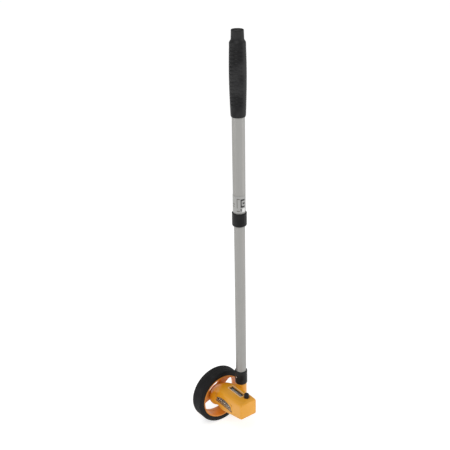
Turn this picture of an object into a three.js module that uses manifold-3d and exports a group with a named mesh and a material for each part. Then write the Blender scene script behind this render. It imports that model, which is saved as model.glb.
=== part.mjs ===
// A compact distance measuring wheel: a one-foot wheel beside a small counter case on a telescoping pole.
// Millimetres. +Z is up the pole, Y is the wheel's axle with the case towards -Y, and X is the rolling
// direction. The origin is the centre of the hub cap's flat outer face.
import * as THREE from "three";
import { mergeVertices } from "three/addons/utils/BufferGeometryUtils.js";
import Module from "manifold-3d";

const wasm = await Module();
wasm.setup();

// ---- Driving dimensions ---------------------------------------------------------------------------------

const gap = 0.3; // between pieces that touch
const slideFit = 0.3; // between tubes that slide in each other
const turnFit = 0.25; // between a shaft and what turns on it

const wheel = {
  tyreRadius: 48.5, // 305 mm round: one foot a turn
  tyreWidth: 24.2,
  tyreWall: 8.9,
  tyreEdge: 1.6,
  tyreOverlap: 2.5, // of the tyre past the datum plane, from which distances along the axle start
  rimWidth: 23.2,
  rimWall: 2.6,
  discThickness: 2.8,
  discSetback: 13, // from the datum plane to the disc
  hubRadius: 8.5,
  capThickness: 1.5,
  capSkirt: 7,
  capRecess: 4.2, // depth of the hub's recess behind the cap
  capProud: 0.3, // of the cap's face past the tyre's outer face
  openings: 3,
  openingInner: 17,
  openingSpan: 74, // degrees
  openingCorner: 7,
};

const axle = {
  radius: 3,
  end: 41, // from the datum plane
  bushWall: 1.4,
  flange: 0.8,
  flangeWidth: 0.9,
  clip: 39.4, // from the datum plane
  clipThickness: 0.6,
  clipGroove: 0.6, // depth of the groove the clip snaps into
  screw: 1.5,
  screwLength: 9,
  screwHead: 4.2,
  screwHeadHeight: 1.8,
  washer: 5.2,
  washerThickness: 0.5,
  thrustWasher: 7,
  thrustThickness: 0.6,
};

const housing = {
  wall: 2.2,
  hubRadius: 20.5, // round end that stands in the wheel's dish
  intoWheel: 10, // how far that end passes the datum plane
  length: 75.8, // from the datum plane to the flat outer end
  halfWidth: 16.8,
  top: 29,
  endBottom: -1,
  hubBottom: -15, // where the box section begins
  partingAtHub: -9,
  partingAtEnd: 1.6,
  partingGap: 0.3, // between the case shell and the base cover
  ribFrom: 33, // from the datum plane to the inner bush's rib
  ribThickness: 3.6,
  screwPost: 3.4,
};

const counter = {
  drums: 5,
  drumRadius: 6,
  drumClear: 0.3, // from the drums to the lens
  rimWidth: 3,
  heartWidth: 0.8,
  toothWidth: 1,
  spacing: 0.6,
  start: 22.4, // from the datum plane to the first drum
  shaftRadius: 1.2,
  x: 3,
  plate: 1.2,
  floor: 6.5, // height of the frame's floor
  left: -14,
  right: 13.6,
};

const gears = {
  module: 1,
  drive: 12,
  idler: 11,
  input: 12,
  width: 3.2,
  backlash: 0.2,
  start: 16, // from the datum plane
  sleeve: 2.4,
};
const carry = { drum: 20, pinion: 8, backlash: 0.12, angle: 225, shaft: 0.7 };
const comb = { x: 11.6, z: 11.6, tube: 1.7, rod: 0.9, finger: 0.7, tail: 0.8, lean: 12 }; // lean in degrees

const pole = {
  x: 22,
  fromDatum: 27, // from the datum plane to the pole's axis
  lowerRadius: 8.75,
  tubeWall: 0.95,
  postRadius: 9.3,
  postTop: 34,
  socketHeight: 25,
  socketWall: 1.6,
  lockBottom: 331,
  lockHeight: 23,
  colletWall: 0.4,
  lockWall: 0.85,
  overlap: 34, // of the lower tube's end above the lock ring's foot
  pinRadius: 1.4,
  labelHeight: 28,
};

const grip = { bottom: 509, shoulder: 620, top: 638, wall: 1.1, swell: 1.9, tipInset: 0.4, plugInset: 2 };

const reset = {
  capRadius: 4.2,
  stemRadius: 1.6,
  x: 6.2,
  fromDatum: 61.6,
  top: 35.6,
  flange: 1,
  flangeHeight: 1.2,
  shelf: 17.6, // height of the shelf its spring stands on
  springWire: 0.3,
  springTurns: 3.5,
};

const lens = { halfWidth: 4.1, margin: 0.4, flange: 0.8, flangeWidth: 1.1 };
const label = { start: 4, length: 46, low: 0.4, high: 15, depth: 0.9, thickness: 0.58 };
const coverScrewSize = { core: 1.1, head: 2.2, headHeight: 1.4, recess: 1.9 };
const counterScrewSize = { core: 0.9, head: 2, headHeight: 1.2, post: 2.6, x: -11.6 };
const coverScrewPlaces = [
  [11, 12],
  [-11, 12],
  [11.2, 70],
  [-11.2, 70],
]; // x, and the distance from the datum plane
const counterScrewPlaces = [29, 52];

// ---- Stations worked out from them ------------------------------------------------------------------------

const capFace = 0;
const tyreOuterY = capFace - wheel.capProud;
const tyreInnerY = tyreOuterY - wheel.tyreWidth;
const datumY = tyreInnerY + wheel.tyreOverlap;
const station = (distance) => datumY - distance; // Y of a distance from the datum plane
const discInnerY = datumY + wheel.discSetback;
const discOuterY = discInnerY + wheel.discThickness;
const rimRadius = wheel.tyreRadius - wheel.tyreWall;
const housingInnerY = datumY + housing.intoWheel;
const hubOuterY = capFace - wheel.capThickness;
const hubInnerY = discInnerY - 1;
const bushRadius = axle.radius + axle.bushWall;
const screwSeat = hubOuterY - wheel.capRecess;
const clipY = station(axle.clip);
const fullTurn = 2 * Math.PI;

const windowFloor = housing.top - housing.wall;
const drumPitch = counter.rimWidth + counter.heartWidth + 2 * counter.toothWidth + counter.spacing;
const windowY0 = station(counter.start - lens.margin);
const windowY1 = station(counter.start + counter.drums * drumPitch + lens.margin);
const counterZ = windowFloor - gap - lens.flange - counter.drumClear - counter.drumRadius;
const counterFloorTop = counter.floor + counter.plate;
const gearY0 = station(gears.start);
const gearY1 = gearY0 - gears.width;
const nearPlateY0 = station(counter.start - 1.8);
const nearPlateY1 = nearPlateY0 - counter.plate;
const farPlateY0 = station(counter.start + counter.drums * drumPitch + 0.4);
const farPlateY1 = farPlateY0 - counter.plate;

const poleY = station(pole.fromDatum);
const upperRadius = pole.lowerRadius + slideFit + pole.tubeWall;
const colletRadius = upperRadius + gap + pole.colletWall;
const lockRadius = colletRadius + turnFit + pole.lockWall;
const spigotRadius = pole.lowerRadius - pole.tubeWall - gap;
const spigotTop = pole.postTop + pole.socketHeight - 2;
const pinZ = pole.postTop + pole.socketHeight * 0.55;
const socketRadius = pole.lowerRadius + gap + pole.socketWall;
const lowerBottom = pole.postTop + gap;
const lowerTop = pole.lockBottom + pole.overlap;
const upperBottom = pole.lockBottom + 7;
const upperTop = grip.top - 16;
const gripBottomRadius = upperRadius + gap + grip.wall;
const gripMidRadius = gripBottomRadius + grip.swell;
const gripTipRadius = upperRadius - grip.tipInset;
const plugRadius = gripTipRadius - grip.plugInset;

const buttonY = station(reset.fromDatum);
const flangeTop = windowFloor - 2 * gap;
const flangeBottom = flangeTop - reset.flangeHeight;

// ---- Solids: building, turning, cutting and joining -------------------------------------------------------

// A three.js geometry as a manifold solid, with shared corners merged and empty faces dropped.
function solid(geometry) {
  const bare = geometry.index ? geometry.toNonIndexed() : geometry.clone();
  bare.deleteAttribute("normal");
  bare.deleteAttribute("uv");
  const merged = mergeVertices(bare, 1e-4);
  const index = merged.index.array;
  const faces = [];
  for (let i = 0; i < index.length; i += 3) {
    const [a, b, c] = [index[i], index[i + 1], index[i + 2]];
    if (a !== b && b !== c && c !== a) faces.push(a, b, c);
  }
  return new wasm.Manifold(
    new wasm.Mesh({
      numProp: 3,
      vertProperties: merged.attributes.position.array,
      triVerts: new Uint32Array(faces),
    }),
  );
}

const mix = (a, b, t) => a + (b - a) * t;
const join = (first, ...others) => others.reduce((sum, other) => sum.add(other), first);
const cut = (first, ...others) => others.reduce((rest, other) => rest.subtract(other), first);

// A solid turned about Y from a closed outline of [radius, y] points.
function turned(outline, segments = 32) {
  let area = 0;
  outline.forEach(([r, y], i) => {
    const [nextR, nextY] = outline[(i + 1) % outline.length];
    area += r * nextY - nextR * y;
  });
  const ordered = area > 0 ? [...outline] : [...outline].reverse();
  const points = [...ordered, ordered[0]].map(([r, y]) => new THREE.Vector2(r, y));
  return solid(new THREE.LatheGeometry(points, segments));
}

// The same about the vertical line through (x, y), from [radius, z] points.
function turnedUp(outline, x, y, segments = 32) {
  return turned(outline, segments).rotate([90, 0, 0]).translate([x, y, 0]);
}

// A ring or disc about Y, and one about a vertical line.
const ring = (inner, outer, y0, y1, segments) =>
  turned(
    [
      [inner, y0],
      [outer, y0],
      [outer, y1],
      [inner, y1],
    ],
    segments,
  );
const ringUp = (inner, outer, z0, z1, x, y, segments) =>
  turnedUp(
    [
      [inner, z0],
      [outer, z0],
      [outer, z1],
      [inner, z1],
    ],
    x,
    y,
    segments,
  );
const discAt = (radius, y0, y1, x, z, segments) => ring(0, radius, y0, y1, segments).translate([x, 0, z]);

function block(x0, x1, y0, y1, z0, z1) {
  const geometry = new THREE.BoxGeometry(Math.abs(x1 - x0), Math.abs(y1 - y0), Math.abs(z1 - z0));
  geometry.translate((x0 + x1) / 2, (y0 + y1) / 2, (z0 + z1) / 2);
  return solid(geometry);
}

const polygon = (points) => new THREE.Shape(points.map(([u, v]) => new THREE.Vector2(u, v)));

// A flat outline in X and Z, given depth along Y from y0 down to y1.
function plate(outline, y0, y1) {
  const shape = Array.isArray(outline) ? polygon(outline) : outline;
  const geometry = new THREE.ExtrudeGeometry(shape, {
    depth: Math.abs(y1 - y0),
    bevelEnabled: false,
    curveSegments: 5,
  });
  geometry.rotateX(Math.PI / 2);
  geometry.translate(0, Math.max(y0, y1), 0);
  return solid(geometry);
}

const root = new THREE.Group();

// Adds a finished solid to the object as a named mesh with its own material.
function piece(name, made, color, roughness, metalness) {
  const mesh = made.getMesh();
  const stride = mesh.numProp;
  const positions = new Float32Array(mesh.numVert * 3);
  for (let i = 0; i < mesh.numVert; i++) {
    positions.set(mesh.vertProperties.subarray(i * stride, i * stride + 3), i * 3);
  }
  const geometry = new THREE.BufferGeometry();
  geometry.setAttribute("position", new THREE.BufferAttribute(positions, 3));
  geometry.setIndex(new THREE.BufferAttribute(new Uint32Array(mesh.triVerts), 1));
  geometry.computeVertexNormals();
  const material = new THREE.MeshStandardMaterial({ color, roughness, metalness });
  const placed = new THREE.Mesh(geometry, material);
  placed.name = name;
  root.add(placed);
}

const rubber = (name, made) => piece(name, made, 0x232426, 0.85, 0);
const yellow = (name, made) => piece(name, made, 0xe89a1c, 0.45, 0);
const orange = (name, made) => piece(name, made, 0xe07d14, 0.5, 0);
const black = (name, made) => piece(name, made, 0x1b1b1d, 0.55, 0);
const steel = (name, made) => piece(name, made, 0xb9bcc0, 0.3, 1);
const aluminium = (name, made) => piece(name, made, 0xa3a3a0, 0.38, 1);
const nylon = (name, made) => piece(name, made, 0xe9e6da, 0.5, 0);
const white = (name, made) => piece(name, made, 0xe4e2da, 0.5, 0);

// ---- Wheel ----------------------------------------------------------------------------------------------

function tyre() {
  const edge = wheel.tyreEdge;
  const outer = wheel.tyreRadius;
  const seat = rimRadius + gap;
  return turned(
    [
      [seat, tyreInnerY],
      [outer - edge, tyreInnerY],
      [outer - edge * 0.3, tyreInnerY + edge * 0.3],
      [outer, tyreInnerY + edge],
      [outer, tyreOuterY - edge],
      [outer - edge * 0.3, tyreOuterY - edge * 0.3],
      [outer - edge, tyreOuterY],
      [seat, tyreOuterY],
    ],
    64,
  );
}

// One opening between two spokes: a sector with rounded corners, centred on the angle given.
function spokeOpening(angle) {
  const inner = wheel.openingInner;
  const outer = rimRadius - wheel.rimWall - 1;
  const corner = wheel.openingCorner;
  const half = THREE.MathUtils.degToRad(wheel.openingSpan / 2);
  const point = (r, a) => [r * Math.cos(angle + a), r * Math.sin(angle + a)];
  const shape = new THREE.Shape();
  const outerTurn = corner / outer;
  const innerTurn = corner / inner;
  shape.moveTo(...point(inner, -half + innerTurn));
  shape.quadraticCurveTo(...point(inner, -half), ...point(inner + corner, -half));
  shape.lineTo(...point(outer - corner, -half));
  shape.quadraticCurveTo(...point(outer, -half), ...point(outer, -half + outerTurn));
  const steps = 8;
  for (let i = 1; i <= steps; i++) {
    shape.lineTo(...point(outer, (half - outerTurn) * ((2 * i) / steps - 1)));
  }
  shape.quadraticCurveTo(...point(outer, half), ...point(outer - corner, half));
  shape.lineTo(...point(inner + corner, half));
  shape.quadraticCurveTo(...point(inner, half), ...point(inner, half - innerTurn));
  for (let i = steps - 1; i > 0; i--) {
    shape.lineTo(...point(inner, (half - innerTurn) * ((2 * i) / steps - 1)));
  }
  return plate(shape, discOuterY + 1, discInnerY - 1);
}

function wheelBody() {
  const side = (wheel.tyreWidth - wheel.rimWidth) / 2;
  const farY = tyreOuterY - side;
  const nearY = tyreInnerY + side;
  const inside = rimRadius - wheel.rimWall;
  const rim = turned(
    [
      [rimRadius, farY],
      [rimRadius, nearY],
      [inside + 0.6, nearY],
      [inside - 0.6, discInnerY],
      [inside - 0.6, discOuterY],
      [inside + 0.2, farY],
    ],
    64,
  );
  const disc = ring(0, inside, discInnerY, discOuterY, 64);
  const hub = ring(0, wheel.hubRadius, hubInnerY, hubOuterY - gap, 32);
  const recess = ring(0, wheel.capSkirt + gap, screwSeat, capFace, 28);
  const bore = ring(0, axle.radius + gap, hubInnerY - 1, capFace, 20);
  const openings = Array.from({ length: wheel.openings }, (_, i) =>
    spokeOpening((fullTurn * i) / wheel.openings),
  );
  return cut(join(rim, disc, hub), recess, bore, ...openings);
}

function hubCap() {
  const skirt = ring(wheel.capSkirt - 1.2, wheel.capSkirt, hubOuterY - 1.4, capFace - 0.4, 32);
  const face = turned(
    [
      [0, hubOuterY],
      [wheel.hubRadius + 0.8, hubOuterY],
      [wheel.hubRadius + 0.8, capFace - 0.6],
      [wheel.hubRadius + 0.2, capFace],
      [0, capFace],
    ],
    32,
  );
  return join(face, skirt);
}

function axleScrewBody() {
  const seat = screwSeat + gap + axle.washerThickness + gap;
  const top = seat + axle.screwHeadHeight;
  const head = ring(0, axle.screwHead, seat, top, 20);
  const shank = ring(0, axle.screw, screwSeat - axle.screwLength, seat + 0.2, 12);
  const reach = axle.screwHead - 0.8;
  const slot = block(-0.5, 0.5, top - 0.8, top + 1, -reach, reach);
  return cut(join(head, shank), slot);
}

function axleScrewWasher() {
  const low = screwSeat + gap;
  return ring(axle.screw + gap, axle.washer, low, low + axle.washerThickness, 20);
}

function thrustWasher() {
  const top = hubInnerY - gap;
  return ring(axle.radius + gap, axle.thrustWasher, top - axle.thrustThickness, top, 20);
}

function axleBody() {
  const start = screwSeat - gap;
  const rod = ring(0, axle.radius, station(axle.end), start, 20);
  const thread = ring(0, axle.screw + gap, screwSeat - axle.screwLength - 1, start + 1, 12);
  const groove = ring(
    axle.radius - axle.clipGroove,
    axle.radius + 1,
    clipY,
    clipY + axle.clipThickness + 2 * gap,
    20,
  );
  return cut(rod, thread, groove);
}

// The clip snaps into the axle's groove: a flat ring open on one side.
function retainingClip() {
  const low = clipY + gap;
  const high = low + axle.clipThickness;
  const whole = ring(axle.radius - axle.clipGroove + gap / 2, axle.radius + 2.4, low, high, 20);
  return cut(whole, block(-1.6, 1.6, low - 1, high + 1, -2 * axle.radius - 1, 0));
}

// ---- Case -----------------------------------------------------------------------------------------------

const smooth = (t) => {
  const s = Math.min(1, Math.max(0, t));
  return s * s * (3 - 2 * s);
};
const rise = (t) => Math.sin((Math.min(1, Math.max(0, t)) * Math.PI) / 2);

// The case's outline across the axle, a distance along from the datum plane: a circle in the wheel's
// dish that grows into a box with rounded edges. inset is the depth below the outer surface.
function caseSection(along, inset) {
  const width = mix(housing.hubRadius, housing.halfWidth, smooth((along + 8) / 12)) - inset;
  const top = mix(housing.hubRadius, housing.top, rise((along + 8) / 17)) - inset;
  const toBox = smooth((along + 8) / 15);
  const slope = (along - 7) / (housing.length - 7);
  const boxBottom = mix(housing.hubBottom, housing.endBottom, slope);
  const bottom = mix(-housing.hubRadius, boxBottom, toBox) + inset;
  const roundness = smooth((along + 6) / 30);
  const radius = (wanted) =>
    Math.max(0.8, Math.min(mix(housing.hubRadius, wanted, roundness) - inset, width, (top - bottom) / 2));
  const corners = [
    [1, -1, radius(3.5)],
    [1, 1, radius(4.5)],
    [-1, 1, radius(7)],
    [-1, -1, radius(3.5)],
  ];
  const steps = 4;
  const outline = [];
  corners.forEach(([sx, sz, r], corner) => {
    const centre = [sx * (width - r), sz > 0 ? top - r : bottom + r];
    for (let i = 0; i <= steps; i++) {
      const angle = ((corner - 1) * Math.PI) / 2 + (i / steps) * (Math.PI / 2);
      outline.push([centre[0] + r * Math.cos(angle), centre[1] + r * Math.sin(angle)]);
    }
  });
  return outline;
}

// A closed skin over sections of equal point count, listed from high Y to low Y.
function skinned(sections) {
  const count = sections[0].outline.length;
  const positions = [];
  sections.forEach(({ outline, y }) => outline.forEach(([x, z]) => positions.push(x, y, z)));
  const index = [];
  for (let s = 0; s + 1 < sections.length; s++) {
    for (let i = 0; i < count; i++) {
      const j = (i + 1) % count;
      const [a, b, c, d] = [s * count + i, s * count + j, (s + 1) * count + i, (s + 1) * count + j];
      index.push(a, b, c, b, d, c);
    }
  }
  const last = (sections.length - 1) * count;
  for (let i = 1; i + 1 < count; i++) {
    index.push(0, i + 1, i, last, last + i, last + i + 1);
  }
  const geometry = new THREE.BufferGeometry();
  geometry.setAttribute("position", new THREE.BufferAttribute(new Float32Array(positions), 3));
  geometry.setIndex(index);
  return solid(geometry);
}

// The case's whole form, crowned and rounded at its outer end, or its plainer cavity when inset by the wall.
function caseForm(inset) {
  const sections = [];
  const add = (along, depth) => sections.push({ y: station(along), outline: caseSection(along, depth) });
  const first = -housing.intoWheel + inset;
  const last = housing.length - inset;
  if (inset === 0) {
    add(first, 1);
    add(first + 1, 0);
    [-6.5, -3, 0, 4, 8, 13, 20, 30].forEach((along) => add(along, 0));
    add(last - 5, 0);
    add(last - 2.2, 0.4);
    add(last - 0.8, 1.2);
    add(last, 2.8);
  } else {
    [first, -3, 4, 13, 30, last - 4].forEach((along) => add(along, inset));
    add(last, inset + 2);
  }
  return skinned(sections);
}

const partingZ = (along) =>
  mix(
    housing.partingAtHub,
    housing.partingAtEnd,
    (along + housing.intoWheel) / (housing.length + housing.intoWheel),
  );

// Everything below the parting plane, raised or lowered by a little.
function underParting(shift) {
  const [a0, a1] = [-housing.intoWheel - 5, housing.length + 5];
  const outline = [
    [station(a0), partingZ(a0) + shift],
    [station(a1), partingZ(a1) + shift],
    [station(a1), -60],
    [station(a0), -60],
  ];
  const shape = new THREE.Shape(outline.map(([y, z]) => new THREE.Vector2(y, z)));
  const geometry = new THREE.ExtrudeGeometry(shape, { depth: 80, bevelEnabled: false });
  geometry.translate(0, 0, -40);
  geometry.applyMatrix4(new THREE.Matrix4().set(0, 0, 1, 0, 1, 0, 0, 0, 0, 1, 0, 0, 0, 0, 0, 1));
  return solid(geometry);
}

const coverFloor = (along) => Math.min(...caseSection(along, 0).map(([, z]) => z));
const holeForPin = () => discAlongX(pole.pinRadius + gap, pole.x - 14, pole.x + 14, pinZ);

function caseShell() {
  const form = caseForm(0);
  const cavity = caseForm(housing.wall);
  const rib = block(
    -housing.halfWidth + 1,
    housing.halfWidth - 1,
    station(housing.ribFrom),
    station(housing.ribFrom + housing.ribThickness),
    -bushRadius - 1.4,
    counter.floor - 1,
  );
  const posts = coverScrewPlaces.map(([x, along]) =>
    ringUp(0, housing.screwPost, partingZ(along) + 1, housing.top - 1, x, station(along), 14),
  );
  const { x: hangerX, post: hangerRadius, core: hangerCore } = counterScrewSize;
  const hangers = counterScrewPlaces.map((along) =>
    ringUp(0, hangerRadius, counterFloorTop + gap, housing.top - 1, hangerX, station(along), 12),
  );
  const inside = join(rib, ...posts, ...hangers).intersect(caseForm(0.8));
  const postZ = -4;
  const post = turnedUp(
    [
      [0, postZ],
      [pole.postRadius - 4, postZ],
      [pole.postRadius, postZ + 7],
      [pole.postRadius, pole.postTop],
      [0, pole.postTop],
    ],
    pole.x,
    poleY,
    32,
  );
  const spigot = turnedUp(
    [
      [0, pole.postTop - 1],
      [spigotRadius, pole.postTop - 1],
      [spigotRadius, spigotTop - 1],
      [spigotRadius - 1, spigotTop],
      [0, spigotTop],
    ],
    pole.x,
    poleY,
    32,
  );
  const saddle = block(
    8,
    pole.x,
    poleY - pole.postRadius + 0.6,
    poleY + pole.postRadius - 0.6,
    6,
    housing.top - 8,
  );
  const shell = cut(form, cavity.subtract(inside));
  const boss = cut(join(post, spigot, saddle), cavity);
  const window = block(
    counter.x - lens.halfWidth,
    counter.x + lens.halfWidth,
    windowY0,
    windowY1,
    housing.top - 6,
    housing.top + 2,
  );
  const roundHole = (radius, depth) =>
    ringUp(0, radius, housing.top - depth, housing.top + 2, reset.x, buttonY, 32);
  const buttonHole = roundHole(reset.capRadius + turnFit, 8);
  const buttonDish = roundHole(reset.capRadius + 1.6, 0.8);
  const labelRecess = block(
    -housing.halfWidth - 2,
    -housing.halfWidth + label.depth,
    station(label.start - gap),
    station(label.start + label.length + gap),
    label.low - gap,
    label.high + gap,
  );
  const axleHole = ring(0, bushRadius + gap, station(housing.ribFrom + 10), housingInnerY + 3, 20);
  const screwHoles = coverScrewPlaces.map(([x, along]) => {
    const low = partingZ(along) - 4;
    return ringUp(0, coverScrewSize.core + gap, low, low + 14, x, station(along), 12);
  });
  const hangerHoles = counterScrewPlaces.map((along) =>
    ringUp(0, hangerCore + gap, counter.floor - 2, counter.floor + 9, hangerX, station(along), 10),
  );
  return cut(
    join(shell, boss),
    underParting(housing.partingGap / 2),
    window,
    buttonHole,
    buttonDish,
    labelRecess,
    axleHole,
    ...screwHoles,
    ...hangerHoles,
    holeForPin(),
  );
}

function baseCover() {
  const form = caseForm(0);
  const cavity = caseForm(housing.wall);
  const below = underParting(-housing.partingGap / 2);
  const tray = cut(form, cavity).intersect(below);
  const { core, head, recess } = coverScrewSize;
  const posts = coverScrewPlaces.map(([x, along]) =>
    ringUp(0, housing.screwPost, -30, partingZ(along) + gap, x, station(along), 14),
  );
  const trimmed = join(...posts).intersect(below).intersect(caseForm(0.8));
  const holes = coverScrewPlaces.map(([x, along]) =>
    join(
      ringUp(0, core + gap, -40, partingZ(along) + 2, x, station(along), 12),
      ringUp(0, head + gap, -40, coverFloor(along) + recess, x, station(along), 16),
    ),
  );
  return cut(join(tray, trimmed), ...holes);
}

// A slotted screw standing on (x, y), driven from below: its head's top at seat, its shank up to tip.
function screwUp({ core, head, headHeight }, x, y, seat, tip) {
  const slotDepth = headHeight * 0.45;
  const reach = head * 0.74;
  const base = seat - headHeight;
  return cut(
    join(ringUp(0, head, base, seat, x, y, 16), ringUp(0, core, seat - 0.2, tip, x, y, 10)),
    block(x - 0.35, x + 0.35, y - reach, y + reach, base - 1, base + slotDepth),
  );
}

function coverScrew([x, along]) {
  const seat = coverFloor(along) + coverScrewSize.recess - gap;
  return screwUp(coverScrewSize, x, station(along), seat, partingZ(along) + 8);
}

// A flanged bush: the flange at y0, the sleeve on to y1.
function bush(y0, y1) {
  const bore = axle.radius + turnFit;
  const sleeve = ring(bore, bushRadius, y0, y1, 20);
  const flangeY = y0 + Math.sign(y1 - y0) * axle.flange;
  const flange = ring(bore, bushRadius + axle.flangeWidth, y0, flangeY, 20);
  return join(sleeve, flange);
}

function innerBush() {
  const ribEnd = housing.ribFrom + housing.ribThickness;
  return bush(station(ribEnd + gap) - axle.flange, station(housing.ribFrom - 0.5));
}

function windowLens() {
  const y0 = windowY0 - gap;
  const y1 = windowY1 + gap;
  const half = lens.halfWidth - gap;
  const face = block(counter.x - half, counter.x + half, y0, y1, windowFloor - 1, windowFloor + 1);
  const flange = block(
    counter.x - half - lens.flangeWidth,
    counter.x + half + lens.flangeWidth,
    y0 + lens.flangeWidth,
    y1 - lens.flangeWidth,
    windowFloor - gap - lens.flange,
    windowFloor - gap,
  );
  return join(face, flange);
}

function sideLabel() {
  const x0 = -housing.halfWidth + label.depth - gap;
  return block(
    x0 - label.thickness,
    x0,
    station(label.start),
    station(label.start + label.length),
    label.low,
    label.high,
  );
}

// ---- Gears ----------------------------------------------------------------------------------------------

const pressure = THREE.MathUtils.degToRad(25);
const involute = (angle) => Math.tan(angle) - angle;

// A spur gear's outline about (0, 0), with one tooth centred on the phase angle.
function gearOutline(teeth, size, backlash, phase, flankPoints) {
  const pitch = (teeth * size) / 2;
  const base = pitch * Math.cos(pressure);
  const tip = pitch + 0.7 * size;
  const rootRadius = pitch - 1.0 * size;
  const half = (Math.PI * size) / 4 / pitch - backlash / (2 * pitch);
  const halfAt = (r) => half + involute(pressure) - involute(Math.acos(Math.min(1, base / r)));
  const low = Math.max(rootRadius, base);
  const working = Array.from({ length: flankPoints }, (_, i) => mix(tip, low + 0.02, i / 2));
  const flank = [rootRadius, ...working.reverse()];
  const outline = [];
  for (let tooth = 0; tooth < teeth; tooth++) {
    const centre = phase + (fullTurn * tooth) / teeth;
    flank.forEach((r) => outline.push([r, centre - halfAt(Math.max(r, low))]));
    [...flank].reverse().forEach((r) => outline.push([r, centre + halfAt(Math.max(r, low))]));
  }
  return outline.map(([r, a]) => [r * Math.cos(a), r * Math.sin(a)]);
}

function gearAt({ teeth, size, backlash, phase, y0, y1, x, z, flankPoints = 2 }) {
  return plate(gearOutline(teeth, size, backlash, phase, flankPoints), y0, y1).translate([x, 0, z]);
}

// The train's gears, which share a module, and the small carry gears, which share a finer one.
const trainGear = (teeth, phase, y0, y1, x, z) =>
  gearAt({ teeth, size: gears.module, backlash: gears.backlash, phase, y0, y1, x, z });
const carryModule = counter.drumRadius / 12;
const carryGear = (teeth, phase, y0, y1, x, z) =>
  gearAt({ teeth, size: carryModule, backlash: carry.backlash, phase, y0, y1, x, z, flankPoints: 1 });

const gearTo = (gear, other) => ((gear + other) / 2) * gears.module;
const shaftDistance = Math.hypot(counter.x, counterZ);
const shaftAngle = Math.atan2(counterZ, counter.x);
const idlerReach = gearTo(gears.drive, gears.idler);
const idlerTurn = Math.acos(
  (idlerReach ** 2 + shaftDistance ** 2 - gearTo(gears.idler, gears.input) ** 2) /
    (2 * idlerReach * shaftDistance),
);
const toIdler = shaftAngle + idlerTurn;
const idlerAt = { x: idlerReach * Math.cos(toIdler), z: idlerReach * Math.sin(toIdler) };
const fromIdler = Math.atan2(counterZ - idlerAt.z, counter.x - idlerAt.x);
const idlerPhase = toIdler + Math.PI + Math.PI / gears.idler;
const inputPhase =
  fromIdler + Math.PI + Math.PI / gears.input - ((idlerPhase - fromIdler) * gears.idler) / gears.input;

function driveGear() {
  const teeth = trainGear(gears.drive, toIdler, gearY0, gearY1, 0, 0);
  const hub = ring(0, 4.6, gearY0 + 2, gearY1, 20);
  return cut(join(teeth, hub), ring(0, axle.radius + gap, gearY0 + 3, gearY1 - 1, 20));
}

function idlerGear() {
  const { x, z } = idlerAt;
  const teeth = trainGear(gears.idler, idlerPhase, gearY0 - 0.2, gearY1 + 0.2, x, z);
  return cut(teeth, discAt(counter.shaftRadius + turnFit, gearY0 + 2, gearY1 - 2, x, z, 14));
}

function idlerPin() {
  const { x, z } = idlerAt;
  const pin = discAt(counter.shaftRadius, nearPlateY0 - counter.plate / 2, gearY0 + 1.4, x, z, 14);
  const head = discAt(2.2, gearY0 + 0.6, gearY0 + 1.4, x, z, 14);
  return join(pin, head);
}

const holeInNearPlate = (x, z, r) => discAt(r + gap / 2, nearPlateY0 + 2, nearPlateY1 - 2, x, z, 14);

function inputGear() {
  const at = [counter.x, counterZ];
  const teeth = trainGear(gears.input, inputPhase, gearY0, gearY1, ...at);
  const sleeve = discAt(gears.sleeve, gearY1 + 0.5, station(counter.start) + gap, ...at, 16);
  const bore = discAt(counter.shaftRadius + turnFit, gearY0 + 3, station(counter.start) - 2, ...at, 14);
  return cut(join(teeth, sleeve), bore);
}

// ---- Counter --------------------------------------------------------------------------------------------

const drumPitchRadius = (carryModule * carry.drum) / 2;
const pinionPitchRadius = (carryModule * carry.pinion) / 2;
const carryAngle = THREE.MathUtils.degToRad(carry.angle);
const carryDistance = drumPitchRadius + pinionPitchRadius;
const carryAt = {
  x: counter.x + carryDistance * Math.cos(carryAngle),
  z: counterZ + carryDistance * Math.sin(carryAngle),
};
const transferRadius = carryDistance - (pinionPitchRadius + 0.7 * carryModule) - turnFit;
const heart = { low: transferRadius * 0.52, high: transferRadius * 0.77 };

// The heart-shaped zeroing cam: its radius grows evenly from the low point to the far side.
function heartOutline() {
  const count = 16;
  return Array.from({ length: count }, (_, i) => {
    const angle = (fullTurn * i) / count;
    const away = Math.abs(angle - Math.PI) / Math.PI;
    const r = mix(heart.high, heart.low, away);
    const turnedTo = angle + Math.PI / 6;
    return [r * Math.cos(turnedTo), r * Math.sin(turnedTo)];
  });
}

function numberDrum(place) {
  const start = counter.start + place * drumPitch;
  const edge = (offset) => station(start + offset);
  const gearEnd = counter.toothWidth;
  const rimStart = gearEnd + counter.heartWidth;
  const rimEnd = rimStart + counter.rimWidth;
  const solids = [
    discAt(counter.drumRadius, edge(rimStart), edge(rimEnd), 0, 0, 28),
    plate(heartOutline(), edge(gearEnd - 0.2), edge(rimStart + 0.2)),
  ];
  if (place === 0) {
    solids.push(discAt(gears.sleeve, edge(0), edge(gearEnd), 0, 0, 16));
  } else {
    solids.push(carryGear(carry.drum, carryAngle, edge(0), edge(gearEnd), 0, 0));
  }
  if (place < counter.drums - 1) {
    const disc = discAt(transferRadius, edge(rimEnd - 0.2), edge(rimEnd + counter.toothWidth), 0, 0, 20);
    const notch = block(-1.2, 1.2, edge(rimEnd), edge(rimEnd + 2), transferRadius - 0.9, transferRadius + 1);
    solids.push(cut(disc, notch.rotate([0, carry.angle - 90, 0])));
  }
  const bore = discAt(counter.shaftRadius + turnFit, edge(-1), edge(rimEnd + 2), 0, 0, 12);
  return cut(join(...solids), bore).translate([counter.x, 0, counterZ]);
}

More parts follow.
